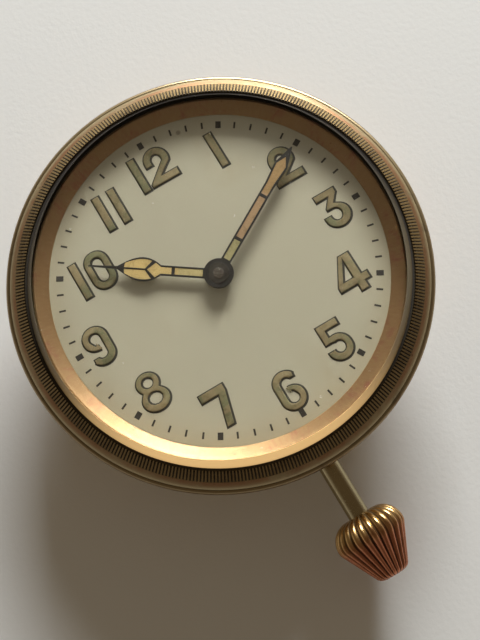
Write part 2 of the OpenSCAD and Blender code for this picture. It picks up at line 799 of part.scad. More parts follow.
// The pallet cock spans the lever on two bosses of the main plate
cock_span = 3.9;
cock_end_r = 1.4;
cock_ends = [for (side = [-1, 1]) pallet_at + polar(cock_span, lever_way + side * 90)];
// Jewels, set flush in the outer faces of bridge and cocks and in the main plate
jewel_r = 0.8;
jewel_t = 0.6;
jewel_hole_r = pivot_r + run;
train_arbors = [third_at, fourth_at, escape_at];
plate_jewels = concat(train_arbors, [pallet_at, balance_at]);
// Small screws hold the clamps, the pallet cock, the crown wheel and the click
small_head_r = 1.1;
small_head_h = 0.5;
small_r = 0.5;
small_len = 1.9;
small_seat_z = winding_z - run;
small_sink_z = pallet_cock_z + small_head_h + seat;
boss_post_r = 0.85;
click_angle = 75;
click_at = barrel_at + polar(pitch(ratchet_teeth, winding_m) + 1.9, click_angle);
winding_posts = [crown_wheel_at, click_at];
// The stem's bearings and the posts of the keyless work
lever_post = [4.6, -(groove_y + groove_w / 2 - 1.275)];
yoke_post = [-6.2, -(clutch_groove_y + clutch_groove_w / 2)];
post_r = 0.6;
pocket_z = stem_z - stem_square * 0.7072 - 0.1;

// A slotted screw whose head's seat is at height z, pointing up
module screw(at, z, head_r, head_h, r, len) {
  difference() {
    union() {
      post(at, head_r, z - head_h, z);
      post(at, r, z, z + len);
    }
    translate([at[0] - head_r - 1, at[1] - 0.12, z - head_h - 1])
      cube([2 * head_r + 2, 0.24, 1 + head_h / 2]);
  }
}

// A gear of the movement with thin leaves, from height a to height b
module leaves(at, n, m, a, b, turn) {
  translate([at[0], at[1], 0])
    flat(a, b - a)
      polygon(gear(n, m, pinion_w, pinion_tip, pinion_root, turn));
}

// A wheel with spokes, fitted on an arbor of radius r
module wheel(at, n, m, z, turn, r, hub, rim = 0.55, spoke = 0.5, spokes = 5) {
  inner = pitch(n, m) - wheel_root * m - rim;
  translate([at[0], at[1], 0])
    flat(z, wheel_t)
      difference() {
        polygon(gear(n, m, wheel_w, wheel_tip, wheel_root, turn));
        circle(r + seat);
        difference() {
          circle(inner);
          circle(hub);
          for (i = [0:spokes - 1])
            rotate([0, 0, i * 360 / spokes + 11])
              translate([0, -spoke / 2])
                square([inner + 1, spoke]);
        }
      }
}

// The main plate with the two bearings of the stem and the posts of the motion and keyless work
module main_plate() {
  color(brass)
    difference() {
      union() {
        post(centre, plate_r, plate_z, plate_top);
        translate([-2.3, -block_out_y - bearing_t, stem_z - 1.8])
          cube([4.6, bearing_t, plate_z - stem_z + 1.8]);
        translate([-1.4, -block_in_y - block_t, stem_z - 1])
          cube([2.8, block_t, plate_z - stem_z + 1]);
        post(minute_at, minute_post_r, plate_top, hour_wheel_z + motion_t + 0.2);
        post(lever_post, post_r, setting_z - 0.6, plate_z);
        for (p = cock_ends)
          post(p, small_foot_r, pallet_cock_z + pallet_cock_t + seat, plate_z + 0.5);
        post(lever_post, post_r + 0.4, setting_z + 0.3, plate_z);
      }
      rod(stem_bearing_r + run, block_out_y - 1, block_out_y + bearing_t + 1);
      rod(stem_pivot_r + run, block_in_y - 1, block_in_y + block_t + 1);
      post(centre, centre_arbor_r + run, plate_z - 1, plate_top + 1);
      post(barrel_at, core_r / 2 + run, plate_z - 1, plate_z + 1.7);
      post(inter_at, pivot_r + 0.15 + run, plate_z - 1, plate_z + 1.2);
      post(setting_at, setting_arbor_r + run, plate_z - 1, plate_top + 1);
      for (p = plate_jewels)
        post(p, jewel_r + seat, plate_z - 1, plate_z + jewel_t + seat);
      for (p = screw_places)
        post(p, screw_r + seat, plate_z - 1, plate_z + screw_bite + pass);
      for (p = cock_ends)
        post(p, small_r + seat, pallet_cock_z, small_sink_z + small_len + 0.1);
      for (a = dial_foot_angles)
        post(polar(dial_foot_arm, a), dial_foot_r + seat, plate_top - 2.6, plate_top + 1);
    }
}

// The barrel bridge: it also carries the crown wheel, the click and the yoke
module barrel_bridge() {
  edge = plate_r - 0.6;
  color(brass)
    difference() {
      union() {
        flat(bridge_z, bridge_t)
          intersection() {
            circle(edge);
            polygon([[0.8, 25], [0.8, 9.5], [-1.6, 3.2], [-2.1, -1], [-0.6, -4.2], [4.6, -5.6],
              [6.4, -9], [6.8, -25], [-25, -25], [-25, 25]]);
          }
        for (p = barrel_feet)
          post(p, foot_r, bridge_z + 0.5, plate_z - seat);
        for (p = winding_posts)
          post(p, boss_post_r, small_seat_z, bridge_z + 0.5);
        post(yoke_post, post_r, bridge_z + 0.5, stem_z + 0.4);
      }
      translate([-2.7, -edge - 1, bridge_z - 1])
        cube([5.4, edge + 1 - pinion_y + 0.25, bridge_t + 2]);
      translate([-2, -pinion_y, bridge_z - 1])
        cube([4, clutch_len + clutch_travel + 0.2, bridge_t + 2]);
      translate([-1.6, -pinion_y, pocket_z])
        cube([3.2, pinion_y - block_in_y + 0.2, bridge_t]);
      post(barrel_at, core_r * 0.6 + run, bridge_z - 1, bridge_top + 1);
      post(inter_at, pivot_r + 0.15 + run, bridge_z - 1, bridge_top + 1);
      for (p = barrel_feet)
        post(p, screw_r + seat, bridge_z - 1, plate_z + 1);
      for (p = winding_posts)
        post(p, small_r + seat, small_seat_z - 1, small_seat_z + small_len + 0.1);
    }
}

// The train bridge, cut away round the balance
module train_bridge() {
  color(brass)
    difference() {
      union() {
        flat(bridge_z, bridge_t)
          difference() {
            intersection() {
              circle(plate_r - 0.6);
              polygon([[-1.3, 3.45], [3, 5.2], [25, 12], [25, -25], [7.1, -25], [6.7, -8.8],
                [4.9, -5.35], [-0.3, -3.95], [-1.8, -0.75]]);
            }
            translate([balance_at[0], balance_at[1]])
              circle(balance_r + 1.3);
          }
        for (p = train_feet)
          post(p, foot_r, bridge_z + 0.5, plate_z - seat);
      }
      post(centre, pivot_r * 2 + run, bridge_z - 1, bridge_top + 1);
      for (p = train_arbors) {
        post(p, jewel_r + seat, bridge_z - 1, bridge_z + jewel_t + seat);
        post(p, arbor_r + 0.1, bridge_z, bridge_top + 1);
      }
      for (p = train_feet)
        post(p, screw_r + seat, bridge_z - 1, plate_z + 1);
    }
}

// The balance cock, with the boss of the regulator and the stud of the hairspring
regulator_r = 1.1;
regulator_t = 0.5;
stud_way = heading(balance_at, cock_foot);
module balance_cock() {
  reach = norm(cock_foot - balance_at);
  color(brass)
    difference() {
      union() {
        translate([balance_at[0], balance_at[1], bridge_z])
          rotate([0, 0, stud_way])
            linear_extrude(bridge_t)
              union() {
                circle(1.8);
                polygon([[0, -1.5], [reach, -cock_foot_r], [reach, cock_foot_r], [0, 1.5]]);
                translate([reach, 0])
                  circle(cock_foot_r);
              }
        post(cock_foot, cock_foot_r - 0.1, bridge_z + 0.5, plate_z - seat);
        post(balance_at, regulator_r, bridge_z - regulator_t - 0.15, bridge_z + 0.5);
        post(balance_at + polar(hairspring_r, stud_way), 0.35, bridge_z + 0.5, hairspring_z - seat);
      }
      post(balance_at, jewel_r + seat, bridge_z - 2, bridge_z + jewel_t + seat);
      post(balance_at, arbor_r + 0.1, bridge_z, bridge_top + 1);
      post(cock_foot, screw_r + seat, bridge_z - 1, plate_z + 1);
    }
}

// The pallet cock, with its screws sunk in both feet
module pallet_cock() {
  color(brass)
    difference() {
      union() {
        translate([pallet_at[0], pallet_at[1], pallet_cock_z])
          rotate([0, 0, lever_way])
            linear_extrude(pallet_cock_t)
              union() {
                circle(1.3);
                translate([-1, -cock_span])
                  square([2, 2 * cock_span]);
              }
        for (p = cock_ends)
          post(p, cock_end_r, pallet_cock_z, pallet_cock_z + pallet_cock_t);
      }
      post(pallet_at, jewel_r + seat, pallet_cock_z - 1, pallet_cock_z + jewel_t + seat);
      post(pallet_at, arbor_r + 0.1, pallet_cock_z, lever_z);
      for (p = cock_ends) {
        post(p, small_head_r + seat, pallet_cock_z - 1, small_sink_z);
        post(p, small_r + seat, pallet_cock_z, plate_z);
      }
    }
}

// The screws that hold the bridges and the balance cock
module bridge_screws() {
  color(blued)
    for (p = screw_places)
      screw(p, bridge_z - seat, screw_head_r, screw_head_h, screw_r, bridge_t + train_gap + screw_bite);
}

// The small screws, all of one size
module small_screws() {
  color(blued)
    union() {
      for (p = clamp_places)
        screw(p, plate_z - 2 * seat - clamp_t, small_head_r, small_head_h, small_r, small_len);
      for (p = cock_ends)
        screw(p, small_sink_z - seat, small_head_r, small_head_h, small_r, small_len);
      for (p = winding_posts)
        screw(p, small_seat_z - seat, small_head_r, small_head_h, small_r, small_len);
    }
}

// The ten jewels of the train, the pallets and the balance
module train_jewels() {
  low = concat([for (p = train_arbors) [p, bridge_z]],
    [[balance_at, bridge_z], [pallet_at, pallet_cock_z]]);
  color(ruby)
    union() {
      for (j = low)
        difference() {
          post(j[0], jewel_r, j[1], j[1] + jewel_t);
          post(j[0], jewel_hole_r, j[1] - 1, j[1] + 2);
        }
      for (p = plate_jewels)
        difference() {
          post(p, jewel_r, plate_z, plate_z + jewel_t);
          post(p, jewel_hole_r, plate_z - 1, plate_z + 2);
        }
    }
}

// The barrel: a drum with the great wheel's teeth round its upper edge
barrel_r = pitch(barrel_teeth, barrel_m) - 0.5;
cover_seat_z = barrel_z + 0.5;
module barrel() {
  color(brass)
    difference() {
      union() {
        post(barrel_at, barrel_r, barrel_z, barrel_top - 0.5);
        translate([barrel_at[0], barrel_at[1], 0])
          flat(barrel_top - barrel_tooth_h, barrel_tooth_h)
            polygon(gear(barrel_teeth, barrel_m, wheel_w, wheel_tip, wheel_root, 0));
      }
      post(barrel_at, barrel_r - barrel_wall, barrel_z - 1, barrel_top - 0.5);
      post(barrel_at, core_r * 0.6 + run, barrel_z, barrel_top + 1);
    }
}

// The snap-in cover of the barrel
module barrel_cover() {
  color(brass)
    difference() {
      post(barrel_at, barrel_r - barrel_wall - seat, barrel_z, cover_seat_z);
      post(barrel_at, core_r * 0.7 + run, barrel_z - 1, cover_seat_z + 1);
    }
}

// The eight-day mainspring, wound part way
module mainspring() {
  low = cover_seat_z + 0.15;
  color(steel)
    translate([barrel_at[0], barrel_at[1], 0])
      flat(low, barrel_top - 0.65 - low)
        polygon(spiral(core_r + 0.1 + mainspring_t / 2, barrel_r - barrel_wall - seat - mainspring_t / 2,
          mainspring_turns, mainspring_t, 24));
}

// The barrel arbor: a core for the spring, two pivots and the square of the ratchet wheel
ratchet_square = core_r * 0.8;
module barrel_arbor() {
  half = ratchet_square / 2;
  color(steel)
    difference() {
      union() {
        post(barrel_at, core_r, cover_seat_z + run, barrel_top - 0.5 - run);
        post(barrel_at, core_r * 0.6, barrel_top - 1, plate_z - 0.1);
        post(barrel_at, core_r / 2, plate_z - 0.5, plate_z + 1.5);
        post(barrel_at, core_r * 0.7, bridge_top + 0.1, cover_seat_z + 0.5);
        post(barrel_at, core_r * 0.6, bridge_z, bridge_top + 0.5);
        translate([barrel_at[0] - half, barrel_at[1] - half, winding_z + 0.05])
          cube([ratchet_square, ratchet_square, winding_t + 0.5]);
      }
      post(barrel_at, small_r + seat, winding_z - 1, winding_z + 2.2);
    }
}

// The intermediate wheel, between the barrel and the centre pinion
inter_arbor_r = 0.55;
module intermediate_wheel() {
  color(brass)
    wheel(inter_at, inter_teeth, inter_m, inter_wheel_z, 0, inter_arbor_r, 1.3);
}

// The intermediate pinion and its arbor
module intermediate_pinion() {
  turn = mesh_turn(barrel_at, barrel_teeth, 0, inter_at, inter_leaves);
  color(steel)
    union() {
      leaves(inter_at, inter_leaves, barrel_m, barrel_top - barrel_tooth_h - 0.1, barrel_top + 0.1, turn);
      post(inter_at, inter_arbor_r, bridge_top + 0.1, inter_wheel_z + wheel_t);
      post(inter_at, pivot_r + 0.15, bridge_z + 0.1, plate_z + 1);
    }
}

// The centre wheel, which turns once an hour
module centre_wheel() {
  color(brass)
    wheel(centre, centre_teeth, centre_m, centre_wheel_z, 0, centre_arbor_r, 1.5);
}

// The centre arbor with its pinion; it reaches through the dial and carries the cannon pinion
module centre_arbor() {
  turn = mesh_turn(inter_at, inter_teeth, 0, centre, centre_leaves);
  color(steel)
    union() {
      leaves(centre, centre_leaves, inter_m,
        centre_wheel_z - seat - centre_pinion_h, centre_wheel_z - seat, turn);
      post(centre, pivot_r * 2, bridge_z + 0.1, bridge_top + 1);
      post(centre, centre_arbor_r, bridge_top + 0.1, plate_top);
      post(centre, pin_r - 0.2, plate_top - 1, minute_hand_z - 0.25);
    }
}

// A train arbor between two jewels, thinner at its pivots
module train_arbor(at, r, low) {
  post(at, r, low + jewel_t + 0.1, plate_z - 0.05);
  post(at, pivot_r, low + 0.05, plate_z + jewel_t - 0.05);
}

// The third wheel
module third_wheel() {
  color(brass)
    wheel(third_at, third_teeth, third_m, third_wheel_z, 0, arbor_r, 1.1);
}

// The third pinion and its arbor
module third_pinion() {
  turn = mesh_turn(centre, centre_teeth, 0, third_at, third_leaves);
  color(steel)
    union() {
      leaves(third_at, third_leaves, centre_m, plate_z - 0.1 - pinion_h, plate_z - 0.1, turn);
      train_arbor(third_at, arbor_r, bridge_z);
    }
}

// The fourth wheel
module fourth_wheel() {
  color(brass)
    wheel(fourth_at, fourth_teeth, fourth_m, fourth_wheel_z, 0, arbor_r, 1);
}

// The fourth pinion and its arbor
module fourth_pinion() {
  low = third_wheel_z - 0.5;
  turn = mesh_turn(third_at, third_teeth, 0, fourth_at, fourth_leaves);
  color(steel)
    union() {
      leaves(fourth_at, fourth_leaves, third_m, low, low + pinion_h, turn);
      train_arbor(fourth_at, arbor_r, bridge_z);
    }
}

// The escape wheel with its leaning teeth
escape_arbor_r = 0.28;
module escape_wheel() {
  root = escape_r * 0.78;
  step = 360 / escape_teeth;
  color(brass)
    translate([escape_at[0], escape_at[1], 0])
      flat(escape_wheel_z, wheel_t)
        difference() {
          polygon([for (i = [0:escape_teeth - 1]) let (a = i * step) each [
            polar(root, a), polar(escape_r, a + 7), polar(escape_r, a + 9.5), polar(root, a + 10)]]);
          circle(escape_arbor_r + seat);
          difference() {
            circle(root - 0.45);
            circle(0.8);
            for (i = [0:3])
              rotate([0, 0, i * 90 + 20])
                translate([0, -0.2])
                  square([escape_r, 0.4]);
          }
        }
}

// The escape pinion and its arbor
module escape_pinion() {
  low = fourth_wheel_z - 0.5;
  turn = mesh_turn(fourth_at, fourth_teeth, 0, escape_at, escape_leaves);
  color(steel)
    union() {
      leaves(escape_at, escape_leaves, escape_m, low, low + pinion_h, turn);
      train_arbor(escape_at, escape_arbor_r, bridge_z);
    }
}

// The pallets and the lever, drawn from the pallet arbor towards the balance
stone_way = 30;
stone_w = 0.3;
stone_r = escape_r + 0.27;
function toward(r, a) = [r * cos(a) - pallet_arm, r * sin(a)];
module stone_shape(gap) {
  for (side = [-1, 1])
    translate([-pallet_arm, 0])
      rotate([0, 0, side * stone_way])
        translate([stone_r, -stone_w / 2 - gap])
          square([0.55 + gap, stone_w + 2 * gap]);
}
module pallet_fork() {
  inner = escape_r + 0.6;
  outer = escape_r + 1.05;
  horn = lever_len - impulse_r;
  color(steel)
    translate([pallet_at[0], pallet_at[1], 0])
      rotate([0, 0, lever_way])
        flat(lever_z, lever_t)
          difference() {
            polygon(concat(
              [for (a = [-36:6:-12]) toward(inner, a)], oval(0, 0, 0.45, 0.45, 240, 120, 6),
              [for (a = [12:6:36]) toward(inner, a)],
              [toward(outer, 36), toward(outer, 22), [0.6, 0.6], [1, 0.3], [horn - 1.1, 0.3],
                [horn - 0.4, 0.75], [horn + 0.45, 0.75], [horn + 0.25, 0.28], [horn - 0.3, 0.28],
                [horn - 0.3, -0.28], [horn + 0.25, -0.28], [horn + 0.45, -0.75],
                [horn - 0.4, -0.75], [horn - 1.1, -0.3], [1, -0.3],
                [0.6, -0.6], toward(outer, -22), toward(outer, -36)]));
            circle(escape_arbor_r + seat);
            stone_shape(seat);
          }
}

// The two pallet stones
module pallet_stones() {
  color(ruby)
    translate([pallet_at[0], pallet_at[1], 0])
      rotate([0, 0, lever_way])
        flat(lever_z + 0.05, lever_t - 0.1)
          stone_shape(0);
}

// The pallet arbor
module pallet_arbor() {
  color(steel)
    train_arbor(pallet_at, escape_arbor_r, pallet_cock_z);
}

// The balance wheel with its two arms and its timing screws
module balance_wheel() {
  rim = balance_r - 0.45;
  arm_z = balance_z + 0.3;
  color(brass)
    translate([balance_at[0], balance_at[1], 0])
      union() {
        flat(balance_z, balance_h)
          difference() {
            circle(rim);
            circle(rim - balance_rim);
          }
        flat(arm_z, 0.35)
          difference() {
            union() {
              circle(1.3);
              translate([-rim + 0.3, -0.45])
                square([2 * rim - 0.6, 0.9]);
            }
            circle(arbor_r + seat);
          }
        for (i = [0:balance_screws - 1])
          rotate([0, 0, (i + 0.5) * 360 / balance_screws])
            translate([rim - 0.2, 0, balance_z + balance_h / 2])
              rotate([0, 90, 0])
                cylinder(r = 0.3, h = 0.65, $fn = 32);
      }
}

// The balance staff with its roller and impulse pin
module balance_staff() {
  pin = balance_at + polar(impulse_r, lever_way + 180);
  color(steel)
    union() {
      train_arbor(balance_at, arbor_r, bridge_z);
      post(balance_at, impulse_r + 0.35, roller_z, roller_z + roller_t);
      post(pin, 0.18, roller_z, lever_z - 0.06);
    }
}

// The hairspring, whose outer end runs level with the stud under the cock
module hairspring() {
  n = hairspring_turns * 24;
  t = 0.1;
  first = stud_way - n * 15;
  at = [for (i = [0:n]) [i > n - 8 ? hairspring_r : 0.75 + (hairspring_r - 1.1) * i / n, first + i * 15]];
  color(blued)
    translate([balance_at[0], balance_at[1], 0])
      flat(hairspring_z, hairspring_h)
        polygon(concat([for (p = at) polar(p[0] + t / 2, p[1])],
          [for (i = [n:-1:0]) polar(at[i][0] - t / 2, at[i][1])]));
}

// The regulator: its ring turns on the cock and its two pins stand on both sides of the hairspring
regulator_way = stud_way - 62;
module regulator() {
  low = bridge_z - run - regulator_t;
  color(steel)
    translate([balance_at[0], balance_at[1], 0])
      rotate([0, 0, regulator_way])
        union() {
          flat(low, regulator_t)
            difference() {
              union() {
                circle(regulator_r + 0.8);
                polygon([[1, -0.8], [3.6, -0.5], [6.6, -0.12], [6.6, 0.12], [3.6, 0.5], [1, 0.8]]);
              }
              circle(regulator_r + run);
            }
          for (r = [hairspring_r - 0.3, hairspring_r + 0.3])
            post([r, 0], 0.1, low + 0.1, hairspring_z + hairspring_h + 0.05);
        }
}

// The winding stem: pivot, square for the clutch, groove for the setting lever and the long rod
module winding_stem() {
  half = stem_square / 2;
  color(steel)
    union() {
      rod(stem_pivot_r, stem_end, block_in_y + block_t + 0.4);
      rod(post_r, block_in_y + block_t + 0.2, stem_square_y + 0.2);
      translate([-half, -pinion_y - 0.2, stem_z - half])
        cube([stem_square, pinion_y + 0.2 - stem_square_y, stem_square]);
      rod(stem_r, pinion_y, groove_y);
      rod(groove_r, groove_y - 0.2, groove_y + groove_w + 0.2);
      rod(stem_bearing_r, groove_y + groove_w, stem_step_y + 0.2);
      rod(rod_r, stem_step_y, crown_y + crown_depth);
    }
}

// The fluted crown: a rounded shoulder, a tapered side and a small rounded tip
crown_tip = 0.8;
crown_blend = 2;
crown_face_r = 2.4;
function flute(a, share) = 1 - share * (1 - abs(cos(a * crown_flutes / 2)));
module crown() {
  k = 4 * crown_flutes;
  high = crown_d / 2;
  taper_s = crown_shoulder + crown_blend * sin(crown_taper);
  taper_r = high - crown_blend * (1 - cos(crown_taper));
  tip_s = crown_len - crown_tip;
  tip_r = taper_r - (tip_s - taper_s) * tan(crown_taper);
  shoulder = [for (t = [0:18:90]) [crown_shoulder * (1 - cos(t)),
    crown_face_r + (high - crown_face_r) * sin(t), flute_share * min(1, t / 54)]];
  blend = [for (t = [1:2]) let (a = crown_taper * t / 2)
    [crown_shoulder + crown_blend * sin(a), high - crown_blend * (1 - cos(a)), flute_share]];
  tip = [[tip_s, tip_r, flute_share], [tip_s + 0.5 * crown_tip, tip_r - 0.36 * crown_tip, flute_share * 0.8],
    [tip_s + 0.88 * crown_tip, tip_r - 0.85 * crown_tip, flute_share * 0.3],
    [crown_len, tip_r - 1.4 * crown_tip, 0]];
  rings = concat(shoulder, blend, tip);
  m = len(rings);
  points = [for (ring = rings) each [for (j = [0:k - 1])
    let (a = j * 360 / k, r = ring[1] * flute(a, ring[2])) [r * cos(a), r * sin(a), ring[0]]]];
  sides = [for (i = [0:m - 2]) each [for (j = [0:k - 1]) let (n = (j + 1) % k) each [
    [i * k + j, (i + 1) * k + j, (i + 1) * k + n], [i * k + j, (i + 1) * k + n, i * k + n]]]];
  color(gold)
    difference() {
      translate([0, -crown_y, stem_z])
        rotate([90, 0, 0])
          polyhedron(points = points, faces = concat(sides,
            [[for (j = [0:k - 1]) j], [for (j = [k - 1:-1:0]) (m - 1) * k + j]]));
      rod(rod_r + seat, crown_y - 1, crown_y + crown_depth + seat);
    }
}

// The winding pinion, loose on the stem, with six keys that the clutch grips
module winding_pinion() {
  color(steel)
    difference() {
      union() {
        translate([0, -pinion_y, stem_z])
          rotate([90, 0, 0])
            linear_extrude(pinion_len)
              polygon(gear(winding_teeth, winding_m, pinion_w, pinion_tip, pinion_root, -90));
        for (i = [0:keys - 1])
          translate([0, -pinion_y, stem_z])
            rotate([0, i * 360 / keys, 0])
              translate([1.1, -0.2, -key_w / 2])
                cube([0.5, key_h + 0.1, key_w]);
      }
      rod(stem_r + run, pinion_y - 2, pinion_y + pinion_len + 1);
    }
}

// The sliding clutch: slots for the keys at one end, teeth for the setting wheel at the other
module sliding_clutch() {
  low = clutch_y - clutch_len;
  half = stem_square / 2 + run;
  color(steel)
    difference() {
      rod(clutch_r, low, clutch_y);
      difference() {
        rod(clutch_r + 1, clutch_groove_y, clutch_groove_y + clutch_groove_w);
        rod(clutch_groove_r, clutch_groove_y - 1, clutch_groove_y + clutch_groove_w + 1);
      }
      translate([-half, -clutch_y - 1, stem_z - half])
        cube([2 * half, clutch_len + 2, 2 * half]);
      for (i = [0:keys - 1])
        translate([0, -clutch_y, stem_z])
          rotate([0, i * 360 / keys, 0])
            translate([0.95, -1, -key_w / 2 - 0.1])
              cube([2, key_h + 1.1, key_w + 0.2]);
      for (i = [0:9])
        translate([0, -low, stem_z])
          rotate([0, i * 36, 0])
            translate([1.05, -0.35, -0.17])
              cube([2, 1, 0.34]);
    }
}

// The crown wheel, turned by the winding pinion
crown_wheel_turn = -90 + 180 / crown_wheel_teeth;
module crown_wheel() {
  color(steel)
    translate([crown_wheel_at[0], crown_wheel_at[1], 0])
      flat(winding_z, winding_t)
        difference() {
          polygon(gear(crown_wheel_teeth, winding_m, wheel_w, wheel_tip, wheel_root, crown_wheel_turn));
          circle(boss_post_r + run);
        }
}

// The ratchet wheel on the square of the barrel arbor
module ratchet_wheel() {
  half = ratchet_square / 2 + seat;
  turn = mesh_turn(crown_wheel_at, crown_wheel_teeth, crown_wheel_turn, barrel_at, ratchet_teeth);
  color(steel)
    translate([barrel_at[0], barrel_at[1], 0])
      flat(winding_z, winding_t)
        difference() {
          polygon(gear(ratchet_teeth, winding_m, wheel_w, wheel_tip, wheel_root, turn));
          translate([-half, -half])
            square([2 * half, 2 * half]);
        }
}

// The screw that holds the ratchet wheel
module ratchet_screw() {
  color(blued)
    screw(barrel_at, winding_z - seat, small_head_r + 0.6, small_head_h, small_r, 2);
}

// The click that stops the ratchet wheel from turning back, drawn just clear of the teeth
click_free = 0.08;
module click() {
  tip_r = pitch(ratchet_teeth, winding_m) + wheel_tip * winding_m + click_free;
  base = click_at - barrel_at;
  tip = polar(tip_r, click_angle + 20);
  back = polar(tip_r + 0.75, click_angle + 20);
  color(steel)
    difference() {
      union() {
        post(click_at, 1.5, winding_z, winding_z + winding_t);
        translate([barrel_at[0], barrel_at[1], 0])
          flat(winding_z, winding_t)
            polygon([base, base + polar(1.4, click_angle + 170), tip, back,
              base + polar(1.4, click_angle + 60)]);
      }
      post(click_at, boss_post_r + run, winding_z - 1, winding_z + 2);
    }
}

// The click's spring, a steel strip fixed at one end, drawn where the lifted click meets it
module click_spring() {
  far = pitch(ratchet_teeth, winding_m) + 2.35;
  color(blued)
    union() {
      translate([barrel_at[0], barrel_at[1], 0])
        flat(winding_z + 0.05, winding_t - 0.1)
          polygon(concat(
            [for (a = [20:3:56]) polar(far + 0.02 * (a - 20), click_angle + a)],
            [for (a = [56:-3:20]) polar(far - 0.2 + 0.02 * (a - 20), click_angle + a)]));
      post(barrel_at + polar(far + 0.6, click_angle + 56), 0.6, winding_z + 0.05, bridge_z - seat);
    }
}

// The setting lever, whose pin rides in the stem's groove
module setting_lever() {
  pin = [0, -groove_y - groove_w / 2];
  low = setting_z - 0.37;
  color(steel)
    difference() {
      union() {
        flat(low, 0.6)
          union() {
            translate([lever_post[0], lever_post[1]])
              circle(1.2);
            translate([pin[0], pin[1]])
              circle(0.65);
            polygon([lever_post + [0, 1], pin + [0, 0.6], pin - [0, 0.6], lever_post - [0.2, 1.1]]);
          }
        post(pin, 0.35, stem_z + 0.8, low + 0.3);
      }
      post(lever_post, post_r + run, low - 1, low + 2);
    }
}

// The yoke, whose tip rides in the clutch's groove
module yoke() {
  tip = [-clutch_groove_r - 0.1, yoke_post[1]];
  low = stem_z - 0.25;
  color(steel)
    difference() {
      union() {
        post(yoke_post, 1.2, low, low + 0.5);
        flat(low, 0.5)
          polygon([yoke_post + [0, 1.1], [tip[0] - 1.6, tip[1] + 0.35], tip + [0, 0.3],
            tip - [0, 0.3], [tip[0] - 1.6, tip[1] - 0.35], yoke_post - [0, 1.1]]);
      }
      post(yoke_post, post_r + run, low - 1, low + 2);
    }
}

case_body();
stem_tube();
rear_cover();
bezel();
coin_edge();
glass();
glass_gasket();
reflector_ring();
dial_plate();
movement_ring();
case_clamps();
minute_hand();
minute_hand_lume();
minute_hand_collet();
hour_hand();
hour_hand_lume();
cannon_pinion();
hour_wheel();
minute_wheel();
setting_wheel();
main_plate();
barrel_bridge();
train_bridge();
balance_cock();
pallet_cock();
bridge_screws();
small_screws();
train_jewels();
barrel();
barrel_cover();
mainspring();
barrel_arbor();
intermediate_wheel();
intermediate_pinion();
centre_wheel();
centre_arbor();
third_wheel();
third_pinion();
fourth_wheel();
fourth_pinion();
escape_wheel();
escape_pinion();
pallet_fork();
pallet_stones();
pallet_arbor();
balance_wheel();
balance_staff();
hairspring();
regulator();
winding_stem();
crown();
winding_pinion();
sliding_clutch();
crown_wheel();
ratchet_wheel();
ratchet_screw();
click();
click_spring();
setting_lever();
yoke();
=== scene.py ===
# %% [markdown]
# # A car clock, dressed for its photograph
#
# The clock lies on its back on pale paper. Its metal pieces come in as a fixed frame, in metres,
# and this lesson gives them their looks: worn gilding, a coin edge with dirt in its notches, a
# coppery ring round the dial, aged enamel, painted numerals with old luminous paste, and blackened
# hands. Each step first says what the real piece is, how it could be made, and why this way was
# chosen.

# %% Load the frame
import math

import bpy
from mathutils import Matrix, Vector


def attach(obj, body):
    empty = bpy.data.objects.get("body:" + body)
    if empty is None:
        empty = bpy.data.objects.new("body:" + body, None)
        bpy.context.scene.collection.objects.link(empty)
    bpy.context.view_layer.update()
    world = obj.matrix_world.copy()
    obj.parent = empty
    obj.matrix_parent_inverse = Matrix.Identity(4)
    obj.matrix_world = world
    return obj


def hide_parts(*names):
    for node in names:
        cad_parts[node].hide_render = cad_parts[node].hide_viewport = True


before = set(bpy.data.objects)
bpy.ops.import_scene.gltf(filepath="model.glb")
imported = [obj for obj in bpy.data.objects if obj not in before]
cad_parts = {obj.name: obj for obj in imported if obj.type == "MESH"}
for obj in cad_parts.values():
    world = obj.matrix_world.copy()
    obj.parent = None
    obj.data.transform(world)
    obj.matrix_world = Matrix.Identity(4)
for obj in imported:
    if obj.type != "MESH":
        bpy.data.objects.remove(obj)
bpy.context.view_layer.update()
MM = 0.001

# %% [markdown]
# ## Small helpers
#
# Every operator works on all that is selected, and the frame comes in selected, so each step starts
# from an empty selection. Sizes are written in millimetres and turned into metres in one place.

# %% Helpers for selecting and placing


def switch(mode):
    bpy.ops.object.mode_set(mode=mode)


def clear_selection():
    if bpy.context.mode != "OBJECT":
        switch("OBJECT")
    bpy.ops.object.select_all(action="DESELECT")


def pick(piece):
    clear_selection()
    piece.select_set(True)
    bpy.context.view_layer.objects.active = piece


def mm(*values):
    return tuple(value * MM for value in values)


def settle(piece, name):
    """Puts a piece's place into its mesh, merges doubled points and turns its faces outwards."""
    pick(piece)
    if piece.type != "MESH":
        bpy.ops.object.convert(target="MESH")
    piece = bpy.context.view_layer.objects.active
    piece.name = name
    piece.data.name = name
    bpy.ops.object.transform_apply(location=True, rotation=True, scale=True)
    switch("EDIT")
    bpy.ops.mesh.select_all(action="SELECT")
    bpy.ops.mesh.remove_doubles(threshold=0.002 * MM)
    bpy.ops.mesh.normals_make_consistent(inside=False)
    switch("OBJECT")
    clear_selection()
    return piece


def smooth(piece, degrees):
    """Shades the piece smooth, apart from edges sharper than the given angle."""
    pick(piece)
    bpy.ops.object.shade_smooth_by_angle(angle=math.radians(degrees))


def join(pieces):
    clear_selection()
    for piece in pieces:
        piece.select_set(True)
    bpy.context.view_layer.objects.active = pieces[0]
    bpy.ops.object.join()
    return bpy.context.object


def heading(turn, length=1.0):
    """A flat vector at an angle clockwise from 12 o'clock."""
    return (length * math.sin(turn), length * math.cos(turn), 0.0)


clear_selection()
print("helpers ready")

# %% [markdown]
# ## Colours and node helpers
#
# A finish is easier to tune when its colours are written as a painter would read them off a swatch,
# from 0 to 255, so one helper turns them into the linear values that Blender works in. The other
# helpers add a node, a sum or a stack of tones in one line, which keeps each material short.

# %% Helpers for colours and nodes


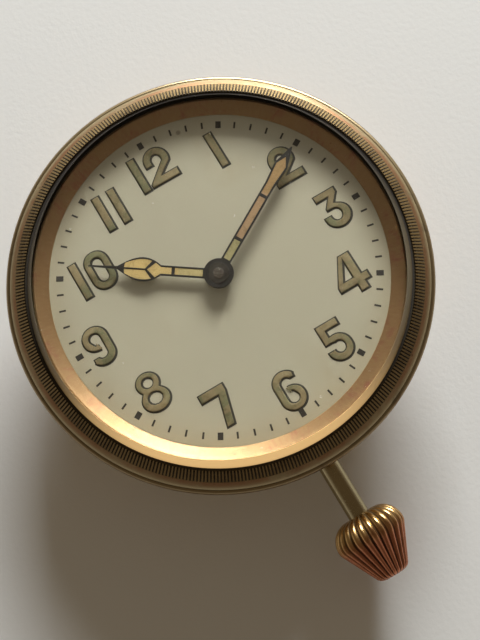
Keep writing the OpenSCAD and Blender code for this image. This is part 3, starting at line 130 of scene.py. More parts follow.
def swatch(red, green, blue):
    def linear(value):
        share = value / 255
        return share / 12.92 if share <= 0.04045 else ((share + 0.055) / 1.055) ** 2.4
    return (linear(red), linear(green), linear(blue), 1.0)


def feed(tree, value, socket):
    if isinstance(value, bpy.types.NodeSocket):
        tree.links.new(value, socket)
    else:
        socket.default_value = value


def wire(tree, node, inputs):
    """Feeds a node's inputs, each by its name or number, with a value or another node's output."""
    for key, value in inputs.items():
        feed(tree, value, node.inputs[key])


def add_node(tree, kind, inputs=None, **settings):
    node = tree.nodes.new(kind)
    for key, value in settings.items():
        setattr(node, key, value)
    wire(tree, node, inputs or {})
    return node


def calc(tree, operation, a, b=0.0):
    return add_node(tree, "ShaderNodeMath", {0: a, 1: b}, operation=operation).outputs[0]


def vector_calc(tree, operation, inputs):
    return add_node(tree, "ShaderNodeVectorMath", inputs, operation=operation).outputs


def dot(tree, point, way):
    """How far the point lies along the direction way."""
    return vector_calc(tree, "DOT_PRODUCT", {0: point, 1: way})["Value"]


def fade(tree, value, low, high, start=0.0, end=1.0):
    """A smooth step from start to end as value goes from low to high."""
    return add_node(tree, "ShaderNodeMapRange", {
        "Value": value, "From Min": low, "From Max": high, "To Min": start, "To Max": end},
        interpolation_type="SMOOTHSTEP").outputs["Result"]


def plus(tree, start, *parts):
    """The start and, for each part, its mask times its share."""
    for mask, share in parts:
        start = calc(tree, "ADD", start, calc(tree, "MULTIPLY", mask, share))
    return start


def less(tree, start, mask, share):
    return calc(tree, "SUBTRACT", start, calc(tree, "MULTIPLY", mask, share))


def tint(tree, mask, under, over, way="MIX"):
    """Lays the colour over on the colour under where mask is 1."""
    return add_node(tree, "ShaderNodeMix", {0: mask, 6: under, 7: over},
                    data_type="RGBA", blend_type=way).outputs[2]


def coats(tree, colour, *layers):
    """Lays tones on the colour one after another, each by a share of its mask."""
    for mask, share, tone in layers:
        colour = tint(tree, calc(tree, "MULTIPLY", mask, share), colour, tone)
    return colour


print("swatch of 128 is", round(swatch(128, 128, 128)[0], 3))

# %% [markdown]
# ## Effects that several finishes share
#
# Wear, tarnish, fine lines and dust are the same few effects on every old metal piece, only in
# other amounts. Each is a node group with named inputs, built once and placed in each material with
# its own values. The first one measures the surface in millimetres: the point itself, and its
# distance and angle round the clock's axis, which turned and notched pieces need.

# %% Build a group and place one
FLOAT = "NodeSocketFloat"
VECTOR = "NodeSocketVector"


def new_group(name, inputs, outputs):
    tree = bpy.data.node_groups.new(name, "ShaderNodeTree")
    for label, value in inputs.items():
        socket = tree.interface.new_socket(label, in_out="INPUT", socket_type=FLOAT)
        socket.default_value = value
    for label, kind in outputs.items():
        tree.interface.new_socket(label, in_out="OUTPUT", socket_type=kind)
    given = tree.nodes.new("NodeGroupInput").outputs
    return tree, given, tree.nodes.new("NodeGroupOutput").inputs


def effect(tree, name, **values):
    """Places a group in the tree and sets its inputs."""
    node = add_node(tree, "ShaderNodeGroup", node_tree=bpy.data.node_groups[name])
    for key, value in values.items():
        node.inputs[key.capitalize()].default_value = value
    return node.outputs


def mask_of(tree, name, **values):
    """Places a group of which only the first output, a mask or a value, is wanted."""
    return effect(tree, name, **values)[0]


def in_mm(tree):
    return effect(tree, "place_in_mm")


def noise(tree, point, scale, detail, **more):
    return add_node(tree, "ShaderNodeTexNoise", {
        "Vector": point, "Scale": scale, "Detail": detail, **more}).outputs["Fac"]


print("groups can be built")

# %% Group: place in millimetres
tree, given, result = new_group(
    "place_in_mm", {}, {"Point": VECTOR, "Radius": FLOAT, "Angle": FLOAT})
own = add_node(tree, "ShaderNodeTexCoord").outputs["Object"]
point = vector_calc(tree, "SCALE", {0: own, "Scale": 1 / MM})[0]
x, y, _ = add_node(tree, "ShaderNodeSeparateXYZ", {"Vector": point}).outputs
squares = calc(tree, "ADD", calc(tree, "MULTIPLY", x, x), calc(tree, "MULTIPLY", y, y))
feed(tree, point, result["Point"])
feed(tree, calc(tree, "SQRT", squares), result["Radius"])
feed(tree, calc(tree, "ARCTAN2", y, x), result["Angle"])
print("group place_in_mm")

# %% [markdown]
# ### Edge wear
#
# Handling rubs gilding off the edges first. A Bevel node bends the normal near an edge, so the
# difference from the true normal tells how close an edge is. That works on any mesh and needs no
# painting. A noise breaks the line up, because real wear is uneven.

# %% Group: edge wear
tree, given, result = new_group(
    "edge_wear", {"Width": 0.15, "Uneven": 0.5}, {"Mask": FLOAT, "Normal": VECTOR})
width = calc(tree, "MULTIPLY", given["Width"], MM)
rounded = add_node(tree, "ShaderNodeBevel", {"Radius": width}, samples=6).outputs[0]
true = add_node(tree, "ShaderNodeNewGeometry").outputs["Normal"]
near = fade(tree, calc(tree, "SUBTRACT", 1.0, dot(tree, rounded, true)), 0.004, 0.12)
patchy = noise(tree, in_mm(tree)["Point"], 1.3, 4.0)
broken = fade(tree, patchy, calc(tree, "MULTIPLY", given["Uneven"], 0.8), 0.75)
feed(tree, calc(tree, "MULTIPLY", near, broken), result["Mask"])
feed(tree, rounded, result["Normal"])
print("group edge_wear")

# %% [markdown]
# ### Tarnish, fine scratches, dust and turned lines
#
# Tarnish is broad cloudy noise with a finer one inside it. Scratches are noise drawn out along two
# directions and cut to thin lines. Dust and pits are small random cells of which only a few are
# kept. Turned lines are noise that depends on the radius alone, as a lathe tool leaves them.

# %% Group: tarnish
tree, given, result = new_group("tarnish", {"Size": 6.0, "Amount": 0.5}, {"Mask": FLOAT})
scale = calc(tree, "DIVIDE", 1.0, given["Size"])
broad = noise(tree, in_mm(tree)["Point"], scale, 6.0, Roughness=0.62, Distortion=0.6)
start = less(tree, 0.78, given["Amount"], 0.5)
feed(tree, fade(tree, broad, start, calc(tree, "ADD", start, 0.22)), result["Mask"])
print("group tarnish")

# %% Group: fine scratches
SECOND_TURN = 1.9
tree, given, result = new_group(
    "scratches", {"Size": 1.0, "Turn": 0.6, "Share": 0.3}, {"Mask": FLOAT})
scale = calc(tree, "DIVIDE", 5.0, given["Size"])
masks = []
for turn, stretch in ((0.0, 26.0), (SECOND_TURN, 34.0)):
    swung = add_node(tree, "ShaderNodeVectorRotate", {
        "Vector": in_mm(tree)["Point"], "Angle": calc(tree, "ADD", given["Turn"], turn)},
        rotation_type="Z_AXIS").outputs[0]
    drawn = vector_calc(tree, "MULTIPLY", {0: swung, 1: (1 / stretch, 1.0, 0.4)})[0]
    thin = noise(tree, drawn, scale, 2.0)
    ridge = calc(tree, "ABSOLUTE", calc(tree, "SUBTRACT", thin, 0.5))
    masks.append(fade(tree, ridge, 0.0, calc(tree, "MULTIPLY", given["Share"], 0.03), 1.0, 0.0))
feed(tree, calc(tree, "MAXIMUM", *masks), result["Mask"])
print("group scratches")

# %% Group: dust and pits
tree, given, result = new_group("specks", {"Size": 0.8, "Share": 0.3}, {"Mask": FLOAT})
cells = add_node(tree, "ShaderNodeTexVoronoi", {
    "Vector": in_mm(tree)["Point"], "Scale": calc(tree, "DIVIDE", 1.0, given["Size"])}).outputs
chance, size, _ = add_node(tree, "ShaderNodeSeparateColor", {"Color": cells["Color"]}).outputs
kept = calc(tree, "LESS_THAN", chance, given["Share"])
reach = calc(tree, "MULTIPLY", size, 0.22)
speck = fade(tree, cells["Distance"], calc(tree, "MULTIPLY", reach, 0.5), reach, 1.0, 0.0)
feed(tree, calc(tree, "MULTIPLY", speck, kept), result["Mask"])
print("group specks")

# %% Groups: turned lines and grain
tree, given, result = new_group("turned", {"Pitch": 0.12}, {"Value": FLOAT})
rings = add_node(tree, "ShaderNodeTexNoise", {
    "W": in_mm(tree)["Radius"], "Scale": calc(tree, "DIVIDE", 1.0, given["Pitch"]),
    "Detail": 3.0}, noise_dimensions="1D")
feed(tree, rings.outputs["Fac"], result["Value"])
tree, given, result = new_group("grain", {"Size": 0.1}, {"Value": FLOAT})
fine = noise(tree, in_mm(tree)["Point"], calc(tree, "DIVIDE", 1.0, given["Size"]), 3.0)
feed(tree, fine, result["Value"])
print("groups turned and grain")

# %% [markdown]
# ## Materials for the metal pieces
#
# All the old metal finishes are built the same way: a base colour, darkened by tarnish and dirt and
# paler where the edges are rubbed, with a roughness and a bump that follow the same masks. One
# function builds them from a short list of values, so that each finish is a line of choices.

# %% Start a material and bump it


def new_material(name):
    material = bpy.data.materials.new(name)
    material.use_nodes = True
    tree = material.node_tree
    return material, tree, tree.nodes["Principled BSDF"]


def raise_surface(tree, shader, height, depth, normal=None):
    """Feeds a Bump node of the given depth in millimetres into the shader's normal."""
    bump = add_node(tree, "ShaderNodeBump", {
        "Height": height, "Distance": depth * MM, "Strength": 1.0})
    if normal is not None:
        feed(tree, normal, bump.inputs["Normal"])
    feed(tree, bump.outputs[0], shader.inputs["Normal"])


# %% An old metal finish


def old_metal(name, base, dull, rubbed, rough, spread, wear, depth, tarnish=0.5, scratch=0.3,
              pits=0.2, turned=0.0, grain=0.1, warm=None):
    material, tree, shader = new_material(name)
    patches = mask_of(tree, "tarnish", size=spread, amount=tarnish)
    edges = effect(tree, "edge_wear", width=wear, uneven=0.4)
    lines = mask_of(tree, "scratches", share=scratch)
    dots = mask_of(tree, "specks", share=pits)
    fine = mask_of(tree, "grain", size=grain)
    colour = coats(tree, base, (patches, 0.85, dull))
    if warm is not None:
        blush = mask_of(tree, "tarnish", size=spread * 2.3, amount=0.6)
        colour = coats(tree, colour, (blush, 0.6, warm))
    colour = coats(
        tree, colour, (dots, 0.6, dull), (edges["Mask"], 0.8, rubbed), (lines, 0.25, rubbed))
    wire(tree, shader, {"Base Color": colour, "Metallic": 1.0,
                        "Roughness": plus(tree, rough, (patches, 0.16), (fine, 0.1), (lines, 0.1))})
    height = calc(tree, "SUBTRACT", fine, plus(tree, lines, (dots, 1.5)))
    if turned:
        height = plus(tree, height, (mask_of(tree, "turned", pitch=turned), 2.5))
    raise_surface(tree, shader, height, depth, edges["Normal"])
    return material


print("old_metal ready")

# %% [markdown]
# ### Gilding, brass, copper and steel
#
# The case is brass with a thin gilding that has gone brown where dirt sits and coppery where it is
# thin. Inside, the plates are a clean frosted gilt, the wheels bright brass with lathe lines, and
# the small parts are polished or blued steel. Only the values differ.

# %% Make the metal finishes
metals = {
    "case_gilt": dict(
        base=swatch(188, 156, 110), dull=swatch(146, 114, 80), rubbed=swatch(224, 200, 156),
        warm=swatch(178, 128, 88), rough=0.2, tarnish=0.45, spread=6.5, wear=0.12, scratch=0.35,
        pits=0.25, depth=0.005),
    "back_gilt": dict(
        base=swatch(200, 166, 108), dull=swatch(138, 100, 62), rubbed=swatch(228, 204, 156),
        warm=swatch(190, 128, 80), rough=0.28, spread=8.0, wear=0.25, scratch=0.6, pits=0.3,
        turned=0.16, depth=0.008),
    "stem_brass": dict(
        base=swatch(172, 158, 124), dull=swatch(104, 88, 62), rubbed=swatch(214, 204, 174),
        rough=0.12, tarnish=0.35, spread=3.0, wear=0.0, depth=0.003),
    "frosted_gilt": dict(
        base=swatch(214, 182, 118), dull=swatch(170, 132, 78), rubbed=swatch(236, 214, 160),
        rough=0.42, tarnish=0.3, spread=9.0, wear=0.08, scratch=0.15, pits=0.1, grain=0.06,
        depth=0.008),
    "wheel_brass": dict(
        base=swatch(212, 176, 104), dull=swatch(156, 118, 66), rubbed=swatch(236, 208, 146),
        rough=0.22, tarnish=0.3, spread=4.0, wear=0.05, scratch=0.2, turned=0.08, depth=0.004),
    "polished_steel": dict(
        base=swatch(176, 176, 174), dull=swatch(112, 108, 102), rubbed=swatch(206, 206, 204),
        rough=0.16, tarnish=0.3, spread=3.0, wear=0.05, depth=0.003),
    "spring_steel": dict(
        base=swatch(120, 122, 130), dull=swatch(84, 80, 82), rubbed=swatch(170, 172, 178),
        rough=0.25, tarnish=0.4, spread=3.0, wear=0.04, depth=0.003),
    "blued_steel": dict(
        base=swatch(46, 62, 122), dull=swatch(70, 58, 92), rubbed=swatch(130, 136, 160),
        rough=0.18, tarnish=0.35, spread=2.0, wear=0.05, scratch=0.2, depth=0.003),
    "collet_steel": dict(
        base=swatch(66, 63, 57), dull=swatch(38, 36, 32), rubbed=swatch(110, 104, 94),
        rough=0.4, tarnish=0.55, spread=1.2, wear=0.06, scratch=0.4, pits=0.4, turned=0.2,
        depth=0.012),
}
finishes = {name: old_metal(name, **values) for name, values in metals.items()}
print("metal finishes:", ", ".join(finishes))

# %% [markdown]
# ### The bezel's gilding
#
# The bezel is satin and keeps a bright upper rim. Along the coin edge the gilding has worn through
# to a reddish copper, in places only, and the flat lip round the glass is dark with old dirt. These
# follow the radius, so one material holds them. The side of the rim away from the window is painted
# darker and browner, as painted shade, and a group gives that direction.

# %% Group: the side in painted shade
BEZEL_RADIUS = 33
# The side away from the window, which the group darkens as painted shade.
SHADED_SIDE = math.radians(217)
tree, given, result = new_group("shaded_side", {"Share": 0.5}, {"Mask": FLOAT})
facing = dot(tree, in_mm(tree)["Point"], heading(SHADED_SIDE, 1 / BEZEL_RADIUS))
side = fade(tree, facing, -0.75, 0.1)
feed(tree, calc(tree, "MULTIPLY", side, given["Share"]), result["Mask"])
print("group browned")

# %% Material: bezel
COPPER_INNER = (33.1, 33.25)
COPPER_OUTER = (34.1, 33.5)
OUTER_BEAD = (34.3, 34.95)
INNER_LIP = (32.25, 32.05)
material, tree, shader = new_material("bezel_gilt")
radius = in_mm(tree)["Radius"]
patches = mask_of(tree, "tarnish", size=5.0, amount=0.5)
worn = mask_of(tree, "tarnish", size=9.0, amount=0.9)
lines = mask_of(tree, "scratches", size=1.1, share=0.25)
dots = mask_of(tree, "specks", size=1.5, share=0.14)
fine = mask_of(tree, "grain", size=0.1)
# Painted shade: the side of the rim away from the window is darkened and browned.
shaded_side = mask_of(tree, "shaded_side", share=0.42)
beside = calc(
    tree, "MULTIPLY", fade(tree, radius, *COPPER_OUTER), fade(tree, radius, *COPPER_INNER))
lip = fade(tree, radius, *INNER_LIP)
colour = coats(
    tree, swatch(196, 178, 140), (patches, 0.75, swatch(118, 103, 82)),
    (calc(tree, "MULTIPLY", beside, worn), 0.7, swatch(180, 120, 84)),
    (dots, 0.7, swatch(104, 66, 40)), (lines, 0.2, swatch(236, 214, 164)),
    (shaded_side, 1.0, swatch(92, 80, 62)), (fade(tree, radius, *OUTER_BEAD), 0.5, swatch(118, 90, 60)),
    (lip, 0.95, swatch(66, 60, 47)))
wire(tree, shader, {"Base Color": colour, "Metallic": less(tree, 1.0, lip, 0.6),
                    "Roughness": plus(tree, 0.3, (lip, 0.2), (patches, 0.08), (fine, 0.06))})
raise_surface(tree, shader, calc(tree, "SUBTRACT", fine, dots), 0.004)
finishes["bezel_gilt"] = material
print("bezel_gilt")

# %% [markdown]
# ### The coin edge
#
# A coin edge is a band of fine notches, here 380 of them, cut so that a fingernail can lift the
# bezel. Dirt stays in the notches and the crests are rubbed bright. The notches are in the mesh, so
# the dirt only needs their angle: a cosine with 380 waves round the axis is 1 on every crest and -1
# in every notch.

# %% Material: coin edge
NOTCHES = 380
material, tree, shader = new_material("coin_edge_gilt")
angle = in_mm(tree)["Angle"]
wave = calc(tree, "COSINE", calc(tree, "MULTIPLY", angle, NOTCHES))
valley = fade(tree, wave, 0.25, -0.4)
patches = mask_of(tree, "tarnish", size=7.0, amount=0.6)
# Painted shade: the side of the band away from the window is darkened.
shaded_side = mask_of(tree, "shaded_side", share=0.6)
fine = mask_of(tree, "grain", size=0.12)
colour = coats(
    tree, swatch(200, 172, 122), (patches, 0.6, swatch(118, 94, 64)),
    (shaded_side, 1.0, swatch(84, 70, 50)), (valley, 0.9, swatch(44, 34, 22)))
wire(tree, shader, {"Base Color": colour, "Metallic": less(tree, 1.0, valley, 0.5),
                    "Roughness": plus(tree, 0.16, (valley, 0.4), (fine, 0.12))})
raise_surface(tree, shader, fine, 0.008)
finishes["coin_edge"] = material
print("notches:", NOTCHES)

# %% [markdown]
# ### The crown's gilding
#
# The crown is gilt like the case but its cone has gone coppery from fingers, while its shoulder
# stays yellow. Dirt lies in the 24 flutes. As with the coin edge, the angle round the stem tells
# where a flute is, and the place along the stem tells shoulder from cone.

# %% Material: crown
STEM_LEVEL = 8.0
FLUTES = 24
CONE_FROM = (-46.0, -49.5)
material, tree, shader = new_material("crown_gilt")
x, y, z = add_node(tree, "ShaderNodeSeparateXYZ", {"Vector": in_mm(tree)["Point"]}).outputs
round_stem = calc(tree, "ARCTAN2", x, calc(tree, "SUBTRACT", z, STEM_LEVEL))
wave = calc(tree, "COSINE", calc(tree, "MULTIPLY", round_stem, FLUTES))
valley = fade(tree, wave, -0.35, -1.0)
patches = mask_of(tree, "tarnish", size=2.2, amount=0.6)
lines = mask_of(tree, "scratches", size=0.7, share=0.3)
dots = mask_of(tree, "specks", size=0.7, share=0.2)
fine = mask_of(tree, "grain", size=0.09)
colour = coats(
    tree, swatch(206, 170, 112), (fade(tree, y, *CONE_FROM), 1.0, swatch(182, 116, 86)),
    (patches, 0.6, swatch(142, 88, 60)), (dots, 0.7, swatch(60, 42, 30)),
    (valley, 0.75, swatch(46, 32, 22)), (lines, 0.2, swatch(236, 206, 150)))
wire(tree, shader, {"Base Color": colour, "Metallic": less(tree, 1.0, valley, 0.4),
                    "Roughness": plus(tree, 0.2, (valley, 0.3), (fine, 0.1))})
raise_surface(tree, shader, fine, 0.005)
finishes["crown_gilt"] = material
print("flutes:", FLUTES)

# %% [markdown]
# ### The coppery ring
#
# The sloping ring between the dial and the glass has lost most of its gilding: it is coppery, satin
# and finely grained across, with small dark spots. Its grain runs down the slope, so a noise that
# changes fast with the angle and slowly with the radius draws it.

# %% Material: reflector ring
GRAIN_ROUND = 60.0
GRAIN_DOWN = 0.8
material, tree, shader = new_material("ring_copper")
place = in_mm(tree)
swing = add_node(tree, "ShaderNodeCombineXYZ", {
    "X": calc(tree, "MULTIPLY", place["Angle"], GRAIN_ROUND),
    "Y": calc(tree, "MULTIPLY", place["Radius"], GRAIN_DOWN)}).outputs[0]
streak = noise(tree, swing, 1.0, 4.0)
cloud = mask_of(tree, "tarnish", size=4.0, amount=0.6)
dots = mask_of(tree, "specks", size=0.9, share=0.16)
fine = mask_of(tree, "grain", size=0.09)
edges = effect(tree, "edge_wear", width=0.12, uneven=0.3)
colour = coats(
    tree, swatch(150, 119, 83), (cloud, 1.0, swatch(146, 98, 77)),
    (fade(tree, streak, 0.3, 0.7), 0.7, swatch(156, 127, 89)),
    (dots, 0.7, swatch(112, 80, 54)), (edges["Mask"], 0.5, swatch(232, 200, 140)))
wire(tree, shader, {
    "Base Color": colour, "Metallic": 0.72, "Roughness": plus(tree, 0.3, (fine, 0.16))})
raise_surface(tree, shader, calc(tree, "ADD", fine, streak), 0.014, edges["Normal"])
finishes["reflector"] = material
print("ring_copper")

# %% [markdown]
# ### The enamelled dial
#
# The dial has yellowed evenly, with a darker tone towards the rim where dust collects, a few dark
# specks, and a soft gloss. A colour that depends on the radius gives the ageing, and a very shallow
# bump keeps the gloss from looking like plastic.

# %% Material: dial
DUSTY_RIM = (22.0, 28.5)
material, tree, shader = new_material("dial_enamel")
radius = in_mm(tree)["Radius"]
cloud = mask_of(tree, "tarnish", size=16.0, amount=0.5)
specks = mask_of(tree, "specks", size=3.2, share=0.10)
fine = mask_of(tree, "grain", size=0.25)
colour = coats(
    tree, swatch(174, 170, 149), (cloud, 1.0, swatch(169, 163, 139)),
    (fade(tree, radius, *DUSTY_RIM), 0.35, swatch(150, 136, 104)),
    (fade(tree, fine, 0.35, 0.75), 0.12, swatch(148, 139, 114)), (specks, 0.55, swatch(92, 80, 60)))
wire(tree, shader, {"Base Color": colour, "Roughness": plus(tree, 0.34, (fine, 0.12))})
raise_surface(tree, shader, fine, 0.004)
finishes["dial"] = material
print("dial_enamel")

# %% [markdown]
# ### Luminous paste
#
# The numerals and the hands are filled with a paste that has dried to khaki, grainy and a little
# cracked. In the hands its tone changes from the boss to the tip, because the cells were filled
# apart: two tones in the hour hand, three in the minute hand. A smooth step along the hand parts
# them. In the numerals a broad noise mixes two tones.

# %% Material: paste
CELL_EDGE = 0.1


def paste(name, tones, along=None, stops=(), blotch=None):
    """Old paste in one tone, or in several that follow each other along the direction of a hand."""
    material, tree, shader = new_material(name)
    fine = mask_of(tree, "grain", size=0.16)
    cloud = mask_of(tree, "tarnish", size=1.6, amount=0.6)
    colour = tones[0]
    if along is not None:
        reach = dot(tree, in_mm(tree)["Point"], along)
        for stop, tone in zip(stops, tones[1:]):
            beyond = fade(tree, reach, stop - CELL_EDGE, stop + CELL_EDGE)
            colour = tint(tree, beyond, colour, tone)
    if blotch is not None:
        broad = mask_of(tree, "tarnish", size=3.4, amount=0.7)
        colour = coats(tree, colour, (broad, 0.8, blotch))
    darker = tint(tree, 1.0, colour, (0.62, 0.60, 0.52, 1.0), "MULTIPLY")
    colour = coats(tree, colour, (cloud, 0.7, darker), (fade(tree, fine, 0.5, 0.72), 0.5, darker))
    wire(tree, shader, {"Base Color": colour, "Roughness": 0.8})
    raise_surface(tree, shader, fine, 0.05)
    return material


MINUTE_WAY = heading(math.radians(60))
HOUR_WAY = heading(math.radians(305))
finishes["numeral_paste"] = paste(
    "numeral_paste", [swatch(130, 117, 84)], blotch=swatch(100, 104, 72))
finishes["hour_paste"] = paste(
    "hour_paste", [swatch(174, 160, 108), swatch(188, 164, 104)], HOUR_WAY, (6.6,))
finishes["minute_paste"] = paste(
    "minute_paste", [swatch(150, 142, 100), swatch(158, 130, 96), swatch(152, 124, 80)],
    MINUTE_WAY, (6.6, 15.3))
print("paste in the hands and numerals")

# %% [markdown]
# ### Black hands and printing ink
#
# The hands are blackened steel, darker than the ink of the numerals but with a soft shine on their
# edges. Both are a plain dark shader with its own grain, because the pieces are small.

# %% Materials: black hands and ink


def dark_paint(name, tone, edge, rough):
    material, tree, shader = new_material(name)
    fine = mask_of(tree, "grain", size=0.1)
    edges = effect(tree, "edge_wear", width=0.06, uneven=0.5)
    dots = mask_of(tree, "specks", size=0.7, share=0.3)
    colour = coats(tree, tone, (edges["Mask"], 0.6, edge), (dots, 0.4, edge))
    wire(tree, shader, {"Base Color": colour, "Roughness": plus(tree, rough, (fine, 0.2))})
    raise_surface(tree, shader, fine, 0.006, edges["Normal"])
    return material


finishes["hand_black"] = dark_paint("hand_black", swatch(36, 35, 31), swatch(70, 64, 52), 0.3)
finishes["ink"] = dark_paint("numeral_ink", swatch(48, 46, 36), swatch(74, 68, 52), 0.55)
finishes["pit_ink"] = dark_paint("tick_ink", swatch(40, 36, 27), swatch(66, 60, 46), 0.5)
print("dark paints")

# %% [markdown]
# ### Cement and ruby
#
# The cement under the foot of the glass is a pale putty that has gone black along the bezel, where
# dirt creeps in. The radius divides the two. The jewels are clear red stones.

# %% Material: cement
BLACK_FROM = (30.95, 31.1)
material, tree, shader = new_material("gasket_cement")
radius = in_mm(tree)["Radius"]
fine = mask_of(tree, "grain", size=0.2)
cloud = mask_of(tree, "tarnish", size=2.5, amount=0.5)
colour = tint(tree, cloud, swatch(178, 160, 124), swatch(138, 116, 84))
ragged = fade(tree, plus(tree, radius, (fine, 0.15)), *BLACK_FROM)
wire(tree, shader, {"Base Color": tint(tree, ragged, colour, swatch(40, 33, 26)), "Roughness": 0.6})
raise_surface(tree, shader, fine, 0.01)
finishes["gasket"] = material
print("gasket_cement")

# %% Material: ruby
material, tree, shader = new_material("ruby")
cloud = mask_of(tree, "tarnish", size=0.8, amount=0.5)
wire(tree, shader, {"Base Color": tint(tree, cloud, swatch(178, 26, 50), swatch(120, 12, 36)),
                    "Roughness": 0.06, "IOR": 1.76, "Transmission Weight": 0.6})
finishes["ruby"] = material
print("ruby")

# %% [markdown]
# ### The glass
#
# The glass is clear, a little yellow and finely scratched. Its index of refraction is lower than
# that of real glass, whose reflections of the lamp would show as white crescents. Light from the
# lamp must reach the dial under it. A plain glass shader would block it and leave only noisy light,
# so shadow rays see a nearly clear Transparent shader instead, and every other ray sees the glass.
# The sloping edge of the real glass bends the light away, so there the Transparent shader is dark,
# and the rim throws its soft shadow on the dial.

# %% Material: glass
FLAT_UP_TO = (29.8, 30.1)
material, tree, shader = new_material("clear_glass")
lines = mask_of(tree, "scratches", size=1.4, share=0.16, turn=0.9)
dots = mask_of(tree, "specks", size=1.7, share=0.12)
wire(tree, shader, {
    "Base Color": (0.97, 0.965, 0.945, 1.0), "IOR": 1.06, "Transmission Weight": 1.0,
    "Coat Weight": 0.5, "Coat Roughness": 0.03,
    "Roughness": plus(tree, calc(tree, "MULTIPLY", lines, 0.12), (dots, 0.25))})
sloping = fade(tree, in_mm(tree)["Radius"], *FLAT_UP_TO)
clear = add_node(tree, "ShaderNodeBsdfTransparent", {
    "Color": tint(tree, sloping, (0.93, 0.925, 0.905, 1.0), (0.05, 0.045, 0.04, 1.0))})
choice = add_node(tree, "ShaderNodeMixShader", {
    0: add_node(tree, "ShaderNodeLightPath").outputs["Is Shadow Ray"],
    1: shader.outputs[0], 2: clear.outputs[0]})
feed(tree, choice.outputs[0], tree.nodes["Material Output"].inputs["Surface"])
finishes["glass"] = material
print("clear_glass")

# %% [markdown]
# ### Painted light on the ground edge of the glass
#
# The glass ends in a steep ground slope. The light that runs inside the glass away from the window
# leaves it there, so the slope glows pale gold on the far side and stays dark on the near side. A
# colour that follows the direction from the centre paints this light and shade, from dark to pale,
# and a weak glow, though the slope is no lamp, paints the light that comes from inside, which a
# shader on the surface can't gather by itself.

# %% Material: painted light on the ground edge
PAINTED_GLOW_SIDE = math.radians(205)
EDGE_RADIUS = 30.5
material, tree, shader = new_material("painted_edge_light")
# Painted light and shade: dark on the side near the window, pale gold on the far side, where the
# painted glow is strongest.
facing = dot(tree, in_mm(tree)["Point"], heading(PAINTED_GLOW_SIDE, 1 / EDGE_RADIUS))
cloud = mask_of(tree, "tarnish", size=3.0, amount=0.5)
fine = mask_of(tree, "grain", size=0.15)
colour = coats(
    tree, swatch(36, 31, 24), (fade(tree, facing, -0.6, 0.3), 1.0, swatch(122, 110, 84)),
    (fade(tree, facing, 0.2, 0.9), 1.0, swatch(224, 186, 128)), (cloud, 0.25, swatch(96, 74, 50)))
painted_glow = tint(tree, fade(tree, facing, 0.45, 1.0), (0.0, 0.0, 0.0, 1.0), (0.56, 0.36, 0.15, 1.0))
wire(tree, shader, {
    "Base Color": colour, "Roughness": 0.4, "Emission Color": painted_glow, "Emission Strength": 1.0})
raise_surface(tree, shader, fine, 0.006)
finishes["painted_edge_light"] = material
print("painted_edge_light")

# %% [markdown]
# ## Dress every piece of the frame
#
# Each CAD node gets the finish of its real piece. Assigning to the object's material slots changes
# the looks only: the shape stays as the frame has it.

# %% Give each node its finish
dress = {
    "case_gilt": ["case_body", "stem_tube"],
    "bezel_gilt": ["bezel"],
    "back_gilt": ["rear_cover"],
    "coin_edge": ["coin_edge"],
    "reflector": ["reflector_ring"],
    "dial": ["dial_plate"],
    "glass": ["glass"],
    "gasket": ["glass_gasket"],
    "stem_brass": ["winding_stem"],
    "crown_gilt": ["crown"],
    "hand_black": ["hour_hand", "minute_hand"],
    "collet_steel": ["minute_hand_collet"],
    "hour_paste": ["hour_hand_lume"],
    "minute_paste": ["minute_hand_lume"],
    "frosted_gilt": [
        "movement_ring", "main_plate", "barrel_bridge", "train_bridge", "balance_cock",
        "pallet_cock", "barrel", "barrel_cover"],
    "wheel_brass": [
        "centre_wheel", "third_wheel", "fourth_wheel", "intermediate_wheel", "minute_wheel",
        "hour_wheel", "balance_wheel"],
    "polished_steel": [
        "cannon_pinion", "centre_arbor", "intermediate_pinion", "third_pinion", "fourth_pinion",
        "escape_pinion", "escape_wheel", "pallet_fork", "pallet_arbor", "balance_staff",
        "setting_wheel", "winding_pinion", "sliding_clutch", "setting_lever", "yoke",
        "crown_wheel", "ratchet_wheel", "barrel_arbor", "click", "regulator", "case_clamps"],
    "spring_steel": ["mainspring", "click_spring"],
    "blued_steel": ["hairspring", "bridge_screws", "small_screws", "ratchet_screw"],
    "ruby": ["train_jewels", "pallet_stones"],
}
dressed = set()
for finish, names in dress.items():
    for name in names:
        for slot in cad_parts[name].material_slots:
            slot.material = finishes[finish]
        dressed.add(name)
print("dressed", len(dressed), "left:", sorted(set(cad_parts) - dressed))

# %% [markdown]
# ## The printed track
#
# Sixty marks run round the dial: a thin tick for each minute and a small square at each hour. Each
# mark is a very thin box with its edges taken off, put on the dial at its own angle. The marks of a
# kind are joined into one piece.

# %% Minute ticks and hour squares
DIAL_TOP = 18.0
INK_THICKNESS = 0.02
INK_EDGE = 0.008
TRACK_RADIUS = 25.95
MINUTE_STEP = math.radians(6)


def mark(width, length, turn):
    clear_selection()
    x, y, _ = heading(turn, TRACK_RADIUS)
    bpy.ops.mesh.primitive_cube_add(
        size=1, location=mm(x, y, DIAL_TOP + INK_THICKNESS / 2), rotation=(0, 0, -turn),
        scale=mm(width, length, INK_THICKNESS))
    bpy.ops.object.transform_apply(location=True, rotation=True, scale=True)
    switch("EDIT")
    bpy.ops.mesh.bevel(offset=INK_EDGE * MM, segments=1)
    switch("OBJECT")
    return bpy.context.object


def track(name, width, length, minutes):
    piece = settle(join([mark(width, length, m * MINUTE_STEP) for m in minutes]), name)
    piece.data.materials.append(finishes["pit_ink"])
    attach(piece, "clock_frame")
    print(name, "faces:", len(piece.data.polygons))


track("minute_ticks", 0.32, 1.1, [m for m in range(60) if m % 5])
track("hour_squares", 0.9, 1.2, range(0, 60, 5))

